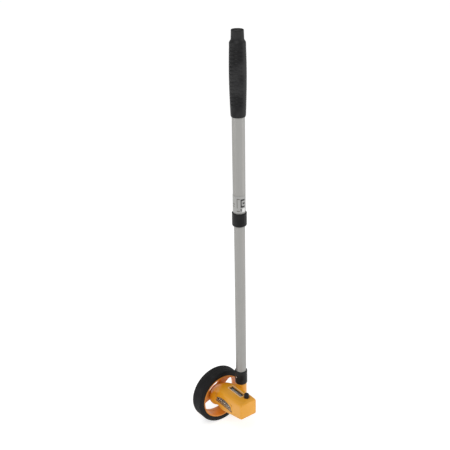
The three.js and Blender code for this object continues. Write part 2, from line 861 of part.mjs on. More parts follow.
function carryPinion(place) {
  const rimEnd = counter.start + place * drumPitch + drumPitch - counter.spacing - counter.toothWidth;
  const y0 = station(rimEnd + 0.15);
  const y1 = station(rimEnd + 2 * counter.toothWidth + counter.spacing - 0.15);
  const phase = carryAngle + Math.PI + Math.PI / carry.pinion;
  const teeth = carryGear(carry.pinion, phase, y0, y1, carryAt.x, carryAt.z);
  return cut(teeth, discAt(carry.shaft + turnFit / 2, y0 + 1, y1 - 1, carryAt.x, carryAt.z, 10));
}

const shelfEnd = reset.fromDatum + 4.5;

function counterFrame() {
  const { floor: base, left, right } = counter;
  const sideLeft = left + 5;
  const headHalf = 5; // half the width of the side plates' heads
  const headTop = counterZ + 5.1;
  const side = [
    [sideLeft, base],
    [right, base],
    [right, base + 8.5],
    [counter.x + headHalf, headTop],
    [counter.x - headHalf, headTop],
    [sideLeft, base + 10.5],
  ];
  const nearSide = plate(side, nearPlateY0, nearPlateY1);
  const farSide = plate(side, farPlateY0, farPlateY1);
  const floor = block(left, right, nearPlateY0, farPlateY1, base, counterFloorTop);
  const shelf = block(
    reset.x - 4,
    reset.x + 4,
    farPlateY0 - 0.4,
    station(shelfEnd),
    reset.shelf,
    reset.shelf + counter.plate,
  );
  const across = (x, z, r) => discAt(r, nearPlateY0 + 2, farPlateY1 - 2, x, z, 14);
  const { x: screwX, core } = counterScrewSize;
  return cut(
    join(nearSide, farSide, floor, shelf),
    across(counter.x, counterZ, counter.shaftRadius + gap / 2),
    holeInNearPlate(counter.x, counterZ, gears.sleeve + turnFit),
    across(carryAt.x, carryAt.z, carry.shaft + gap / 2),
    holeInNearPlate(comb.x, comb.z, comb.rod),
    discAt(comb.tube + turnFit, farPlateY0 + 1, farPlateY1 - 1, comb.x, comb.z, 16),
    holeInNearPlate(idlerAt.x, idlerAt.z, counter.shaftRadius),
    ringUp(0, reset.stemRadius + turnFit, reset.shelf - 2, reset.shelf + 4, reset.x, buttonY, 20),
    ...counterScrewPlaces.map((along) =>
      ringUp(0, core + gap, base - 2, base + 3, screwX, station(along), 10),
    ),
  );
}

function counterScrew(along) {
  const seat = counter.floor - gap;
  return screwUp(counterScrewSize, counterScrewSize.x, station(along), seat, counter.floor + 7);
}

const shaftEnd = farPlateY1 + 0.2;
const counterShaft = () => discAt(counter.shaftRadius, gearY0 + 0.8, shaftEnd, counter.x, counterZ, 14);
const pinionShaft = () => discAt(carry.shaft, nearPlateY1 + 0.4, shaftEnd, carryAt.x, carryAt.z, 10);
const combRod = () => discAt(comb.rod, nearPlateY0, station(shelfEnd - 1.5), comb.x, comb.z, 10);

// The zeroing comb: a tube on its rod, one finger beside each drum's heart cam, and a tail under the button.
function resetComb() {
  const tubeY0 = nearPlateY1 - 0.4;
  const tubeY1 = station(shelfEnd - 2);
  const tube = discAt(comb.tube, tubeY0, tubeY1, 0, 0, 16);
  const bore = discAt(comb.rod + turnFit, tubeY0 + 1, tubeY1 - 1, 0, 0, 10);
  const toDrums = Math.hypot(comb.x - counter.x, comb.z - counterZ);
  const reach = toDrums - heart.high + gap;
  const fingers = Array.from({ length: counter.drums }, (_, i) => {
    const start = counter.start + i * drumPitch + counter.toothWidth + 0.15;
    const end = start + counter.heartWidth - 0.3;
    const finger = block(-comb.finger, comb.finger, station(start), station(end), 0.6, reach);
    return finger.rotate([0, -comb.lean, 0]);
  });
  const tailEnd = reset.x - comb.x - reset.stemRadius;
  const tail = block(tailEnd, 0.5, farPlateY1 - 0.4, tubeY1, -comb.tail, comb.tail);
  return cut(join(tube, ...fingers, tail), bore).translate([comb.x, 0, comb.z]);
}

function resetButton() {
  const dome = reset.top;
  const tip = comb.z + comb.tail + gap;
  return turnedUp(
    [
      [0, tip],
      [reset.stemRadius - 1, tip],
      [reset.stemRadius, tip + 1.4],
      [reset.stemRadius, flangeBottom],
      [reset.capRadius + reset.flange, flangeBottom],
      [reset.capRadius + reset.flange, flangeTop],
      [reset.capRadius, flangeTop],
      [reset.capRadius, dome - 1.4],
      [reset.capRadius - 0.4, dome - 0.5],
      [reset.capRadius - 1.4, dome],
      [reset.capRadius - 2, dome - 0.4],
      [0, dome - 0.7],
    ],
    reset.x,
    buttonY,
    32,
  );
}

// The button's return spring: an open coil between the frame's shelf and the button's flange.
class Coil extends THREE.Curve {
  constructor(radius, low, high, turns) {
    super();
    Object.assign(this, { radius, low, high, turns });
  }
  getPoint(t, target = new THREE.Vector3()) {
    const angle = fullTurn * this.turns * t;
    const height = mix(this.low, this.high, t);
    return target.set(this.radius * Math.cos(angle), this.radius * Math.sin(angle), height);
  }
}

function buttonSpring() {
  const wire = reset.springWire;
  const clear = 0.25; // at each end of the spring
  const low = reset.shelf + counter.plate + wire + clear;
  const high = flangeBottom - wire - clear;
  const section = new THREE.Shape();
  const sides = 6;
  for (let i = 0; i < sides; i++) {
    const angle = (fullTurn * i) / sides;
    const [u, v] = [wire * Math.cos(angle), wire * Math.sin(angle)];
    if (i === 0) section.moveTo(u, v);
    else section.lineTo(u, v);
  }
  const geometry = new THREE.ExtrudeGeometry(section, {
    steps: 30,
    bevelEnabled: false,
    extrudePath: new Coil(reset.stemRadius + 1.2, low, high, reset.springTurns),
  });
  geometry.translate(reset.x, buttonY, 0);
  return solid(geometry);
}

// ---- Pole -----------------------------------------------------------------------------------------------

const onPole = (outline, segments) => turnedUp(outline, pole.x, poleY, segments);
const poleRing = (inner, outer, z0, z1, segments) => ringUp(inner, outer, z0, z1, pole.x, poleY, segments);

function discAlongX(radius, x0, x1, z) {
  return ring(0, radius, x0, x1, 12).rotate([0, 0, -90]).translate([0, poleY, z]);
}

function lowerTube() {
  const tube = poleRing(pole.lowerRadius - pole.tubeWall, pole.lowerRadius, lowerBottom, lowerTop, 32);
  return cut(tube, holeForPin());
}

function lowerCollar() {
  const top = pole.postTop + gap + pole.socketHeight;
  const sleeve = onPole([
    [pole.lowerRadius + gap, lowerBottom],
    [socketRadius - 1, lowerBottom],
    [socketRadius, lowerBottom + 1.2],
    [socketRadius, top - 0.8],
    [socketRadius - 0.6, top],
    [pole.lowerRadius + gap, top],
  ]);
  return cut(sleeve, holeForPin());
}

function collarPin() {
  const half = socketRadius - gap;
  return discAlongX(pole.pinRadius, pole.x - half, pole.x + half, pinZ);
}

// A flanged plug on the lower tube's end that centres it in the upper tube.
function guideBush() {
  const bore = spigotRadius - 1.6;
  const flange = upperRadius - pole.tubeWall - 0.12;
  return onPole([
    [bore, lowerTop - 12],
    [spigotRadius, lowerTop - 12],
    [spigotRadius, lowerTop + gap],
    [flange, lowerTop + gap],
    [flange, lowerTop + 4],
    [flange - 0.8, lowerTop + 5],
    [bore, lowerTop + 5],
  ]);
}

const upperTube = () => poleRing(upperRadius - pole.tubeWall, upperRadius, upperBottom, upperTop, 32);

// The split sleeve on the upper tube's end that the lock ring squeezes onto the lower tube.
function clampCollet() {
  const lip = pole.lockBottom + 1.8;
  const top = pole.lockBottom + pole.lockHeight - 1.6;
  const sleeve = onPole([
    [pole.lowerRadius + gap / 2, lip],
    [colletRadius - 0.9, lip],
    [colletRadius, lip + 2],
    [colletRadius, top],
    [upperRadius + gap, top],
    [upperRadius + gap, upperBottom - gap],
    [pole.lowerRadius + gap / 2, upperBottom - gap],
  ]);
  const slits = [0, 90, 180, 270].map((angle) =>
    block(-0.4, 0.4, 6, 14, lip - 1, upperBottom - 1.5).rotate([0, 0, angle]).translate([pole.x, poleY, 0]),
  );
  return cut(sleeve, ...slits);
}

function lockRing() {
  const outer = lockRadius;
  const inner = colletRadius + turnFit;
  const bottom = pole.lockBottom;
  const top = bottom + pole.lockHeight;
  return onPole([
    [pole.lowerRadius + slideFit, bottom],
    [outer - 2.2, bottom],
    [outer - 0.6, bottom + 1],
    [outer, bottom + 2.6],
    [outer, top - 0.6],
    [outer - 0.5, top],
    [upperRadius + slideFit, top],
    [upperRadius + slideFit, top - 1.3],
    [inner, top - 1.3],
    [inner, bottom + 3.4],
    [inner - 0.9, bottom + 1.4],
    [pole.lowerRadius + slideFit, bottom + 1.4],
  ]);
}

function poleLabel() {
  const inner = upperRadius + gap / 2;
  const low = pole.lockBottom + pole.lockHeight + 1.5;
  const high = low + pole.labelHeight;
  const band = poleRing(inner, inner + 0.25, low, high, 48);
  const open = block(-30, 0, -30, 30, low - 1, high + 1).rotate([0, 0, -60]);
  return cut(band, open.translate([pole.x, poleY, 0]));
}

// The moulded hand grip: a barrel that swells at the middle and narrows to a round tip.
function handGrip() {
  const bore = upperRadius + gap;
  const rising = Array.from({ length: 7 }, (_, i) => {
    const t = i / 6;
    const z = mix(grip.bottom + 3, grip.shoulder - 4, t);
    const swell = Math.sin(Math.PI * Math.min(1, 0.05 + 0.75 * t));
    return [mix(gripBottomRadius, gripMidRadius, swell), z];
  });
  const ceiling = upperTop + gap;
  return onPole(
    [
      [bore, grip.bottom],
      [gripBottomRadius - 0.7, grip.bottom],
      [gripBottomRadius, grip.bottom + 1],
      ...rising,
      [gripMidRadius - 0.9, grip.shoulder],
      [gripTipRadius + 1.2, grip.shoulder + 2.4],
      [gripTipRadius + 0.3, grip.shoulder + 4],
      [gripTipRadius - 0.1, grip.top - 3],
      [gripTipRadius, grip.top - 0.8],
      [gripTipRadius - 0.8, grip.top],
      [plugRadius + gap, grip.top],
      [plugRadius + gap, ceiling],
      [bore, ceiling],
    ],
    32,
  );
}

function endPlug() {
  const stub = upperRadius - pole.tubeWall - gap;
  const top = grip.top - 1;
  return onPole([
    [0, upperTop - 8],
    [stub - 1, upperTop - 8],
    [stub, upperTop - 7],
    [stub, upperTop - gap],
    [plugRadius, upperTop - gap],
    [plugRadius, top - 0.5],
    [plugRadius - 0.5, top],
    [0, top],
  ]);
}

// ---- The object -------------------------------------------------------------------------------------------

rubber("tyre", tyre());
orange("wheel", wheelBody());
black("hub_cap", hubCap());
steel("axle", axleBody());
steel("axle_screw", axleScrewBody());
steel("axle_screw_washer", axleScrewWasher());
nylon("thrust_washer", thrustWasher());
steel("retaining_clip", retainingClip());
nylon("drive_gear", driveGear());

yellow("case_shell", caseShell());
yellow("base_cover", baseCover());
coverScrewPlaces.forEach((place, i) => steel(`cover_screw_${i + 1}`, coverScrew(place)));
nylon("wheel_side_bush", bush(housingInnerY + gap + axle.flange, housingInnerY - housing.wall - 1));
nylon("inner_bush", innerBush());
piece("window_lens", windowLens(), 0xe8eef0, 0.08, 0);
piece("side_label", sideLabel(), 0x3a2a22, 0.5, 0);

steel("counter_frame", counterFrame());
counterScrewPlaces.forEach((along, i) => steel(`counter_screw_${i + 1}`, counterScrew(along)));
steel("counter_shaft", counterShaft());
steel("pinion_shaft", pinionShaft());
steel("comb_rod", combRod());
steel("idler_pin", idlerPin());
nylon("idler_gear", idlerGear());
nylon("input_gear", inputGear());
Array.from({ length: counter.drums }, (_, i) => white(`number_drum_${i + 1}`, numberDrum(i)));
Array.from({ length: counter.drums - 1 }, (_, i) => nylon(`carry_pinion_${i + 1}`, carryPinion(i)));
steel("reset_comb", resetComb());
black("reset_button", resetButton());
steel("button_spring", buttonSpring());

aluminium("lower_tube", lowerTube());
black("lower_collar", lowerCollar());
steel("collar_pin", collarPin());
nylon("guide_bush", guideBush());
aluminium("upper_tube", upperTube());
black("clamp_collet", clampCollet());
black("lock_ring", lockRing());
piece("pole_label", poleLabel(), 0xe6e6e4, 0.4, 0);
rubber("hand_grip", handGrip());
black("end_plug", endPlug());

export default root;
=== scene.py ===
"""Looks for the measuring wheel: its tyre, wheel, counter case, telescoping pole and grip, and the studio."""

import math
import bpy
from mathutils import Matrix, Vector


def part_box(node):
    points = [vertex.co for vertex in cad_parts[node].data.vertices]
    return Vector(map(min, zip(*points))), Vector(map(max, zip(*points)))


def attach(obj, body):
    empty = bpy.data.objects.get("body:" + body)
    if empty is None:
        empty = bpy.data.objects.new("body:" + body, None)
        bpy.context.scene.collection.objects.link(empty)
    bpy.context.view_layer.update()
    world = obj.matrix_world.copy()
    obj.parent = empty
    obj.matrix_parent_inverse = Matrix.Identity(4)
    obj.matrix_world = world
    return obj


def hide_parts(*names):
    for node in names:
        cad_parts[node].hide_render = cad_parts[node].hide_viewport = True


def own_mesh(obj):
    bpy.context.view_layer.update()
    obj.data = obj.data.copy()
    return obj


bl_info = {
    "name": "Measuring wheel",
    "version": (1, 0, 0),
    "blender": (4, 5, 0),
    "location": "View3D > Sidebar > Measuring wheel",
    "description": "Builds the visual pieces and finishes of a measuring wheel on its packed frame",
    "category": "Add Mesh",
}

import bmesh
import bpy
import numpy as np
from bpy.props import FloatProperty, FloatVectorProperty, IntProperty, PointerProperty
from bpy.types import Operator, Panel, PropertyGroup
from mathutils import Matrix, Vector

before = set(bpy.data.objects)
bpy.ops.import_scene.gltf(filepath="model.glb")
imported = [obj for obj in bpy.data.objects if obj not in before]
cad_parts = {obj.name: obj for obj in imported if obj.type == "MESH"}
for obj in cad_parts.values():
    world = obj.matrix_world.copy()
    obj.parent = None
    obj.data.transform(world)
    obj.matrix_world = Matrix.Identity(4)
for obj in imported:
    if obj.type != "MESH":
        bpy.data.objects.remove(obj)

MM = 0.001
CORNERS = {name: [np.array(corner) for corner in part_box(name)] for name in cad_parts}
POLE = (CORNERS["upper_tube"][0] + CORNERS["upper_tube"][1])[:2] / 2  # x and y of the pole's axis
DRUMS = 5
DRUM_PITCH = CORNERS["number_drum_2"][1][1] - CORNERS["number_drum_3"][1][1]
TUBE_WALL = 0.95 * MM
FIT = 0.3 * MM  # between pieces that slide on or sit against each other
RIM_MIDDLE = 3.3 * MM  # from the first drum's near end to the middle of its printed rim
INK = 0.03 * MM  # how far the figures stand off a drum
SHARP_EDGE = math.radians(32)  # edges of the CAD meshes steeper than this stay sharp


def bottom(name):
    """A node's lowest height, in metres."""
    return CORNERS[name][0][2]


def top(name):
    """A node's greatest height, in metres."""
    return CORNERS[name][1][2]


def radius_across(name, axis=0):
    """Half a node's width along an axis: the radius of a round one."""
    return (CORNERS[name][1][axis] - CORNERS[name][0][axis]) / 2


# ---- Sizes and colours a user may change -------------------------------------------------------------------


def tone(name, description, default):
    """A colour property with a picker."""
    return FloatVectorProperty(
        name=name, description=description, default=default, subtype="COLOR", min=0, max=1, size=3
    )


def length(name, description, default):
    """A length property, given in metres."""
    return FloatProperty(
        name=name, description=description, default=default, unit="LENGTH", precision=5, min=0
    )


class RollingWheelSettings(PropertyGroup):
    """Tyre and wheel."""

    rubber: tone("Rubber", "Colour of the tyre", (0.008, 0.008, 0.0085))
    orange: tone("Wheel", "Colour of the moulded wheel", (0.74, 0.26, 0.018))
    ribs: IntProperty(name="Tread ribs", description="Ribs round the tyre", default=132, min=12, max=240)
    rib_depth: length("Rib depth", "Depth of the grooves between the tread's ribs", 0.35 * MM)


class CaseSettings(PropertyGroup):
    """Counter case, its labels and its counter."""

    yellow: tone("Case", "Colour of the moulded case", (0.80, 0.35, 0.010))
    panel: tone("Label panel", "Dark colour printed on the side label", (0.018, 0.008, 0.007))
    cream: tone("Label lines", "Light colour printed on the labels", (0.85, 0.78, 0.62))
    drum: tone("Drums", "Colour of the number drums", (0.78, 0.77, 0.72))
    figure_height: length("Figure height", "Height of the figures on the drums", 3.5 * MM)


class PoleSettings(PropertyGroup):
    """Tubes, collars and grip."""

    aluminium: tone("Aluminium", "Colour of the satin tubes", (0.33, 0.325, 0.31))
    black: tone("Black plastic", "Colour of the collars, button and caps", (0.006, 0.006, 0.0065))
    grip: tone("Grip", "Colour of the grip's rubber", (0.006, 0.006, 0.0065))
    rib_pitch: length("Grip rib pitch", "Distance between the grip's ribs", 5.7 * MM)
    rib_depth: length("Grip rib depth", "Depth of the grooves between the grip's ribs", 0.85 * MM)


class StudioSettings(PropertyGroup):
    """Floor, lights and camera."""

    floor: tone("Floor", "Colour of the floor", (0.62, 0.62, 0.62))
    glow: FloatProperty(name="Glow", description="Light given off by the floor", default=0.66, min=0, max=4)
    surroundings: FloatProperty(
        name="Surroundings", description="Brightness of the air", default=0.58, min=0, max=4
    )
    focal: FloatProperty(
        name="Focal length", description="Camera's focal length", default=65.85, unit="CAMERA"
    )


# ---- Finishes: shader maths as expressions -----------------------------------------------------------------


class Field:
    """A node's output socket that takes part in arithmetic; every operator adds a Math node."""

    def __init__(self, paint, socket):
        self.paint = paint
        self.socket = socket

    def maths(self, operation, first, second):
        return self.paint.node("ShaderNodeMath", {"operation": operation}, {0: first, 1: second})

    def __add__(self, other):
        return self.maths("ADD", self, other)

    def __radd__(self, other):
        return self.maths("ADD", other, self)

    def __sub__(self, other):
        return self.maths("SUBTRACT", self, other)

    def __rsub__(self, other):
        return self.maths("SUBTRACT", other, self)

    def __mul__(self, other):
        return self.maths("MULTIPLY", self, other)

    def __rmul__(self, other):
        return self.maths("MULTIPLY", other, self)

    def __truediv__(self, other):
        return self.maths("DIVIDE", self, other)

    def __rtruediv__(self, other):
        return self.maths("DIVIDE", other, self)

    def __gt__(self, other):
        return self.maths("GREATER_THAN", self, other)

    def __lt__(self, other):
        return self.maths("LESS_THAN", self, other)

    def ramp(self, start, end, low=0.0, high=1.0):
        """Smoothly from low to high as this goes from start to end, and level outside."""
        settings = {"interpolation_type": "SMOOTHSTEP"}
        values = {"Value": self, "From Min": start, "From Max": end, "To Min": low, "To Max": high}
        return self.paint.node("ShaderNodeMapRange", settings, values)

    def between(self, low, high, soft):
        """One from low to high and nothing outside, softened over a width."""
        return self.ramp(low - soft, low + soft) * self.ramp(high + soft, high - soft)


class Paint:
    """A material under construction."""

    def __init__(self, name):
        self.material = bpy.data.materials.new(name)
        self.material.use_nodes = True
        self.tree = self.material.node_tree
        self.tree.nodes.clear()
        self.place = self.node("ShaderNodeTexCoord", output="Object")

    def node(self, kind, settings=None, values=None, output=0):
        """Makes a node: its settings first, then the values or links of its sockets. Returns one output."""
        made = self.tree.nodes.new(kind)
        for key, value in (settings or {}).items():
            setattr(made, key, value)
        for key, value in (values or {}).items():
            if isinstance(value, Field):
                self.tree.links.new(value.socket, made.inputs[key])
            else:
                made.inputs[key].default_value = value
        return None if output is None else Field(self, made.outputs[output])

    def stretched(self, scale):
        """Object coordinates multiplied by a scale on each axis."""
        return self.node("ShaderNodeMapping", {}, {"Vector": self.place, "Scale": scale})

    def far_from_axle(self, start, end):
        """Smoothly from 0 to 1 as the distance from the wheel's axis goes from start to end."""
        x, z = self.axis("X"), self.axis("Z")
        return (x * x + z * z).ramp(start**2, end**2)

    def noise(self, scale, detail=3.0, roughness=0.55, stretch=(1, 1, 1)):
        """Cloudy noise about 0.5, with this many lumps a metre."""
        values = {
            "Vector": self.stretched(stretch),
            "Scale": scale,
            "Detail": detail,
            "Roughness": roughness,
        }
        return self.node("ShaderNodeTexNoise", {}, values)

    def cells(self, scale):
        """Distance from the nearest of scattered points, for moulded grain."""
        return self.node("ShaderNodeTexVoronoi", {}, {"Vector": self.place, "Scale": scale})

    def axis(self, name, vector=None):
        """One coordinate of the surface's place, in metres."""
        return self.node("ShaderNodeSeparateXYZ", {}, {0: vector or self.place}, name)

    def blend(self, mask, low, high):
        """A colour that goes from low to high as the mask goes from 0 to 1."""
        sides = {0: mask}
        for key, side in ((6, low), (7, high)):
            sides[key] = side if isinstance(side, Field) else (*side, 1.0)
        return self.node("ShaderNodeMix", {"data_type": "RGBA"}, sides, 2)

    def edges(self, radius):
        """The normal with edges rounded by a radius, and a mask of how near an edge the surface is."""
        rounded = self.node("ShaderNodeBevel", {"samples": 6}, {"Radius": radius})
        wide = self.node("ShaderNodeBevel", {"samples": 4}, {"Radius": radius * 1.6})
        flat = self.node("ShaderNodeNewGeometry", output="Normal")
        level = self.node("ShaderNodeVectorMath", {"operation": "DOT_PRODUCT"}, {0: wide, 1: flat}, "Value")
        return rounded, (1 - level).ramp(0.02, 0.22)

    def bump(self, height, distance, normal=None, strength=1.0):
        """The normal pushed about by a height field; distance is the depth in metres where the field is 1."""
        values = {"Height": height, "Distance": distance, "Strength": strength}
        if normal is not None:
            values["Normal"] = normal
        return self.node("ShaderNodeBump", {}, values)

    def finish(self, base, roughness, normal, **constants):
        """The Principled shader; constants name its other sockets with underscores for spaces."""
        values = {"Base Color": base, "Roughness": roughness, "Normal": normal}
        values |= {key.replace("_", " "): value for key, value in constants.items()}
        shader = self.node("ShaderNodeBsdfPrincipled", {}, values)
        self.node("ShaderNodeOutputMaterial", {}, {"Surface": shader}, output=None)
        return self.material


# ---- The finishes ------------------------------------------------------------------------------------------

finishes = {}


def finish_named(make):
    """Makes each finish once and hands the same one back after that."""

    def once(*args):
        if make.__name__ not in finishes:
            finishes[make.__name__] = make(*args)
        return finishes[make.__name__]

    return once


def darker(colour, factor):
    return tuple(part * factor for part in colour)


def lighter(colour, share):
    return tuple(part + (1 - part) * share for part in colour)


@finish_named
def rubber_tyre(colour):
    """Dull rubber: fine pitting, a dusty bloom in patches and paler rib crests where it has rolled."""
    paint = Paint("tyre_rubber")
    normal, worn = paint.edges(0.5 * MM)
    pits = paint.noise(2600, 4)
    bloom = paint.noise(38, 4).ramp(0.45, 0.72)
    rolling = radius_across("tyre")
    tread = paint.far_from_axle(rolling - 0.5 * MM, rolling)
    dust = (bloom * 0.5 + worn * 0.45 + tread * 0.25) * (0.6 + paint.noise(700, 3) * 0.8)
    base = paint.blend(dust.ramp(0.05, 1.2, 0, 0.5), colour, lighter(colour, 0.045))
    roughness = 0.5 + pits * 0.16 + dust * 0.16
    height = pits + paint.noise(9000, 2) * 0.4
    return paint.finish(base, roughness, paint.bump(height, 0.06 * MM, normal), Specular_IOR_Level=0.16)


def moulded(name, colour, grain, gloss, edge=0.45 * MM, wear=0.35):
    """Moulded plastic: spark-etched grain, faint flow marks, handling sheen and paler worn edges."""
    paint = Paint(name)
    normal, worn = paint.edges(edge)
    fine = paint.cells(2400)
    flow = paint.noise(30, 3, 0.5, (1, 0.35, 1))
    specks = paint.noise(1500, 2).ramp(0.68, 0.74)
    scuffs = paint.noise(220, 5, 0.7, (1, 0.25, 1)).ramp(0.6, 0.8)
    worn = worn * paint.noise(420, 4).ramp(0.35, 0.65)
    base = paint.blend(flow.ramp(0.3, 0.7), darker(colour, 0.93), lighter(colour, 0.02))
    base = paint.blend(specks * 0.12, base, darker(colour, 0.55))
    base = paint.blend(worn * wear, base, lighter(colour, 0.3))
    roughness = gloss + fine * 0.1 + (flow - 0.5) * 0.12 + scuffs * 0.1 + worn * 0.08
    height = fine * grain + paint.noise(160, 3) * 0.8
    return paint, base, roughness, paint.bump(height, 0.05 * MM, normal)


@finish_named
def wheel_orange(colour):
    """The moulded wheel, with patchy painted shade low in the dish next to the rim."""
    paint, base, roughness, normal = moulded("wheel_orange", colour, 0.8, 0.36)
    # Painted shade: darker in patches in the corner where the dish meets the rim.
    painted_rim_shade = paint.far_from_axle(33 * MM, 37.5 * MM) * paint.noise(140, 4).ramp(0.4, 0.75)
    base = paint.blend(painted_rim_shade * 0.3, base, darker(colour, 0.45))
    return paint.finish(base, roughness, normal, Specular_IOR_Level=0.45)


@finish_named
def case_yellow(settings):
    """The moulded case, with a cream line printed round the window."""
    paint, base, roughness, normal = moulded("case_yellow", settings.yellow, 0.7, 0.3, 0.6 * MM)
    low, high = CORNERS["window_lens"]
    x, y, z = (paint.axis(name) for name in "XYZ")

    def frame_mask(grow):
        sides = x.between(low[0] - grow, high[0] + grow, 0.1 * MM)
        return sides * y.between(low[1] - grow, high[1] + grow, 0.1 * MM)

    on_top = z.ramp(top("window_lens") + 0.4 * MM, top("window_lens") + 0.7 * MM) * (z < 30 * MM)
    line = frame_mask(0.75 * MM) * (1 - frame_mask(0.1 * MM)) * on_top
    ink = line * paint.noise(900, 3).ramp(0.25, 0.4)
    base = paint.blend(ink, base, settings.cream)
    # Darker in patches towards the bottom of the case.
    darker_towards_bottom = paint.noise(60, 4).ramp(0.5, 0.85) * (z.ramp(8 * MM, -18 * MM) * 0.35)
    base = paint.blend(darker_towards_bottom, base, darker(settings.yellow, 0.4))
    return paint.finish(base, roughness, normal, Specular_IOR_Level=0.5)


@finish_named
def black_plastic(colour):
    """Satin black nylon with a fine grain."""
    paint, base, roughness, normal = moulded("black_plastic", colour, 1.0, 0.3, 0.4 * MM, 0.08)
    return paint.finish(base, roughness, normal, Specular_IOR_Level=0.16)


@finish_named
def grip_rubber(colour):
    """Soft moulded rubber: a low sheen painted into the colour in patches where the hand rubs it and a matt
    bloom in the grooves.
    """
    paint = Paint("grip_rubber")
    normal, worn = paint.edges(0.6 * MM)
    grain = paint.cells(1900)
    # Painted sheen: random patches where the colour is a little lighter; the same patches are a little
    # rougher.
    painted_palm_sheen = paint.noise(45, 3).ramp(0.35, 0.7)
    base = paint.blend(painted_palm_sheen, colour, lighter(colour, 0.018))
    base = paint.blend(worn * 0.25, base, lighter(colour, 0.03))
    roughness = 0.36 + painted_palm_sheen * 0.12 + grain * 0.14
    height = grain + paint.noise(300, 3) * 0.8
    return paint.finish(base, roughness, paint.bump(height, 0.05 * MM, normal), Specular_IOR_Level=0.2)


@finish_named
def satin_aluminium(colour):
    """Brushed and anodised tube: streaks along its length, faint handling marks and rings from sliding."""
    paint = Paint("pole_aluminium")
    normal, worn = paint.edges(0.4 * MM)
    streaks = paint.noise(900, 5, 0.6, (1, 1, 0.012))
    broad = paint.noise(160, 3, 0.5, (1, 1, 0.05))
    rings = paint.noise(90, 2, 0.5, (0.02, 0.02, 6)).ramp(0.62, 0.72)
    marks = paint.noise(120, 4).ramp(0.55, 0.8)
    base = paint.blend(streaks, darker(colour, 0.88), lighter(colour, 0.07))
    base = paint.blend(worn * 0.5 + marks * 0.12, base, darker(colour, 0.7))
    roughness = 0.4 + broad * 0.12 + marks * 0.1 - rings * 0.08
    height = streaks + rings * 0.3
    return paint.finish(base, roughness, paint.bump(height, 0.012 * MM, normal), Metallic=0.55)


@finish_named
def plated_steel():
    """Bright zinc plate: turning marks, cloudy passivation and dull edges."""
    paint = Paint("plated_steel")
    normal, worn = paint.edges(0.2 * MM)
    cloud = paint.noise(260, 4)
    base = paint.blend(cloud.ramp(0.35, 0.7), (0.58, 0.59, 0.6), (0.42, 0.42, 0.41))
    base = paint.blend(worn * 0.4, base, (0.7, 0.7, 0.7))
    marks = paint.noise(3000, 3, 0.5, (1, 0.05, 1))
    roughness = 0.24 + cloud * 0.16 + marks * 0.06
    return paint.finish(base, roughness, paint.bump(marks, 0.01 * MM, normal), Metallic=1.0)


@finish_named
def pale_nylon():
    """Natural nylon: milky, a little greasy next to the teeth."""
    paint = Paint("pale_nylon")
    normal, worn = paint.edges(0.15 * MM)
    cloud = paint.noise(300, 4)
    base = paint.blend(cloud, (0.72, 0.7, 0.6), (0.8, 0.78, 0.7))
    base = paint.blend(worn * 0.3, base, (0.5, 0.46, 0.36))
    roughness = 0.36 + cloud * 0.2
    return paint.finish(base, roughness, paint.bump(cloud, 0.03 * MM, normal))


@finish_named
def drum_white(colour):
    """Off-white drum, slightly yellowed and matt."""
    paint = Paint("drum_white")
    normal, worn = paint.edges(0.15 * MM)
    cloud = paint.noise(500, 4)
    base = paint.blend(cloud.ramp(0.3, 0.7), colour, darker(colour, 0.9))
    base = paint.blend(worn * 0.4, base, darker(colour, 0.6))
    return paint.finish(base, 0.42 + cloud * 0.15, paint.bump(cloud, 0.02 * MM, normal))


@finish_named
def figure_ink():
    """Black ink with worn patches that show as grey."""
    paint = Paint("figure_ink")
    patches = paint.noise(2500, 3)
    base = paint.blend(patches.ramp(0.55, 0.8), (0.012, 0.012, 0.013), (0.05, 0.05, 0.05))
    return paint.finish(base, 0.4 + patches * 0.2, paint.bump(patches, 0.005 * MM))


@finish_named
def clear_window():
    """Clear polycarbonate with hairline scratches and a smear or two."""
    paint = Paint("clear_window")
    normal, worn = paint.edges(0.3 * MM)
    hair = paint.noise(1400, 4, 0.6, (1, 0.04, 1)).ramp(0.6, 0.7)
    smear = paint.noise(90, 3).ramp(0.5, 0.8)
    base = paint.blend(worn * 0.5 + smear * 0.2, (0.16, 0.17, 0.18), (0.4, 0.42, 0.43))
    roughness = 0.06 + smear * 0.12 + hair * 0.2
    return paint.finish(base, roughness, paint.bump(hair, 0.01 * MM, normal), Alpha=0.14, IOR=1.5)


def inked(paint, base, marks, colour):
    """A printed colour laid over a base wherever any of the masks is set, with small misses in the ink."""
    total = marks[0]
    for mark in marks[1:]:
        total = total + mark
    cover = paint.noise(1800, 3).ramp(0.2, 0.32) * total.ramp(0.2, 0.8)
    return paint.blend(cover, base, colour)


def wave_mask(value, pitch, share):
    """One over a share of each pitch of a value and nothing over the rest."""
    return value.maths("MODULO", value, pitch) < pitch * share


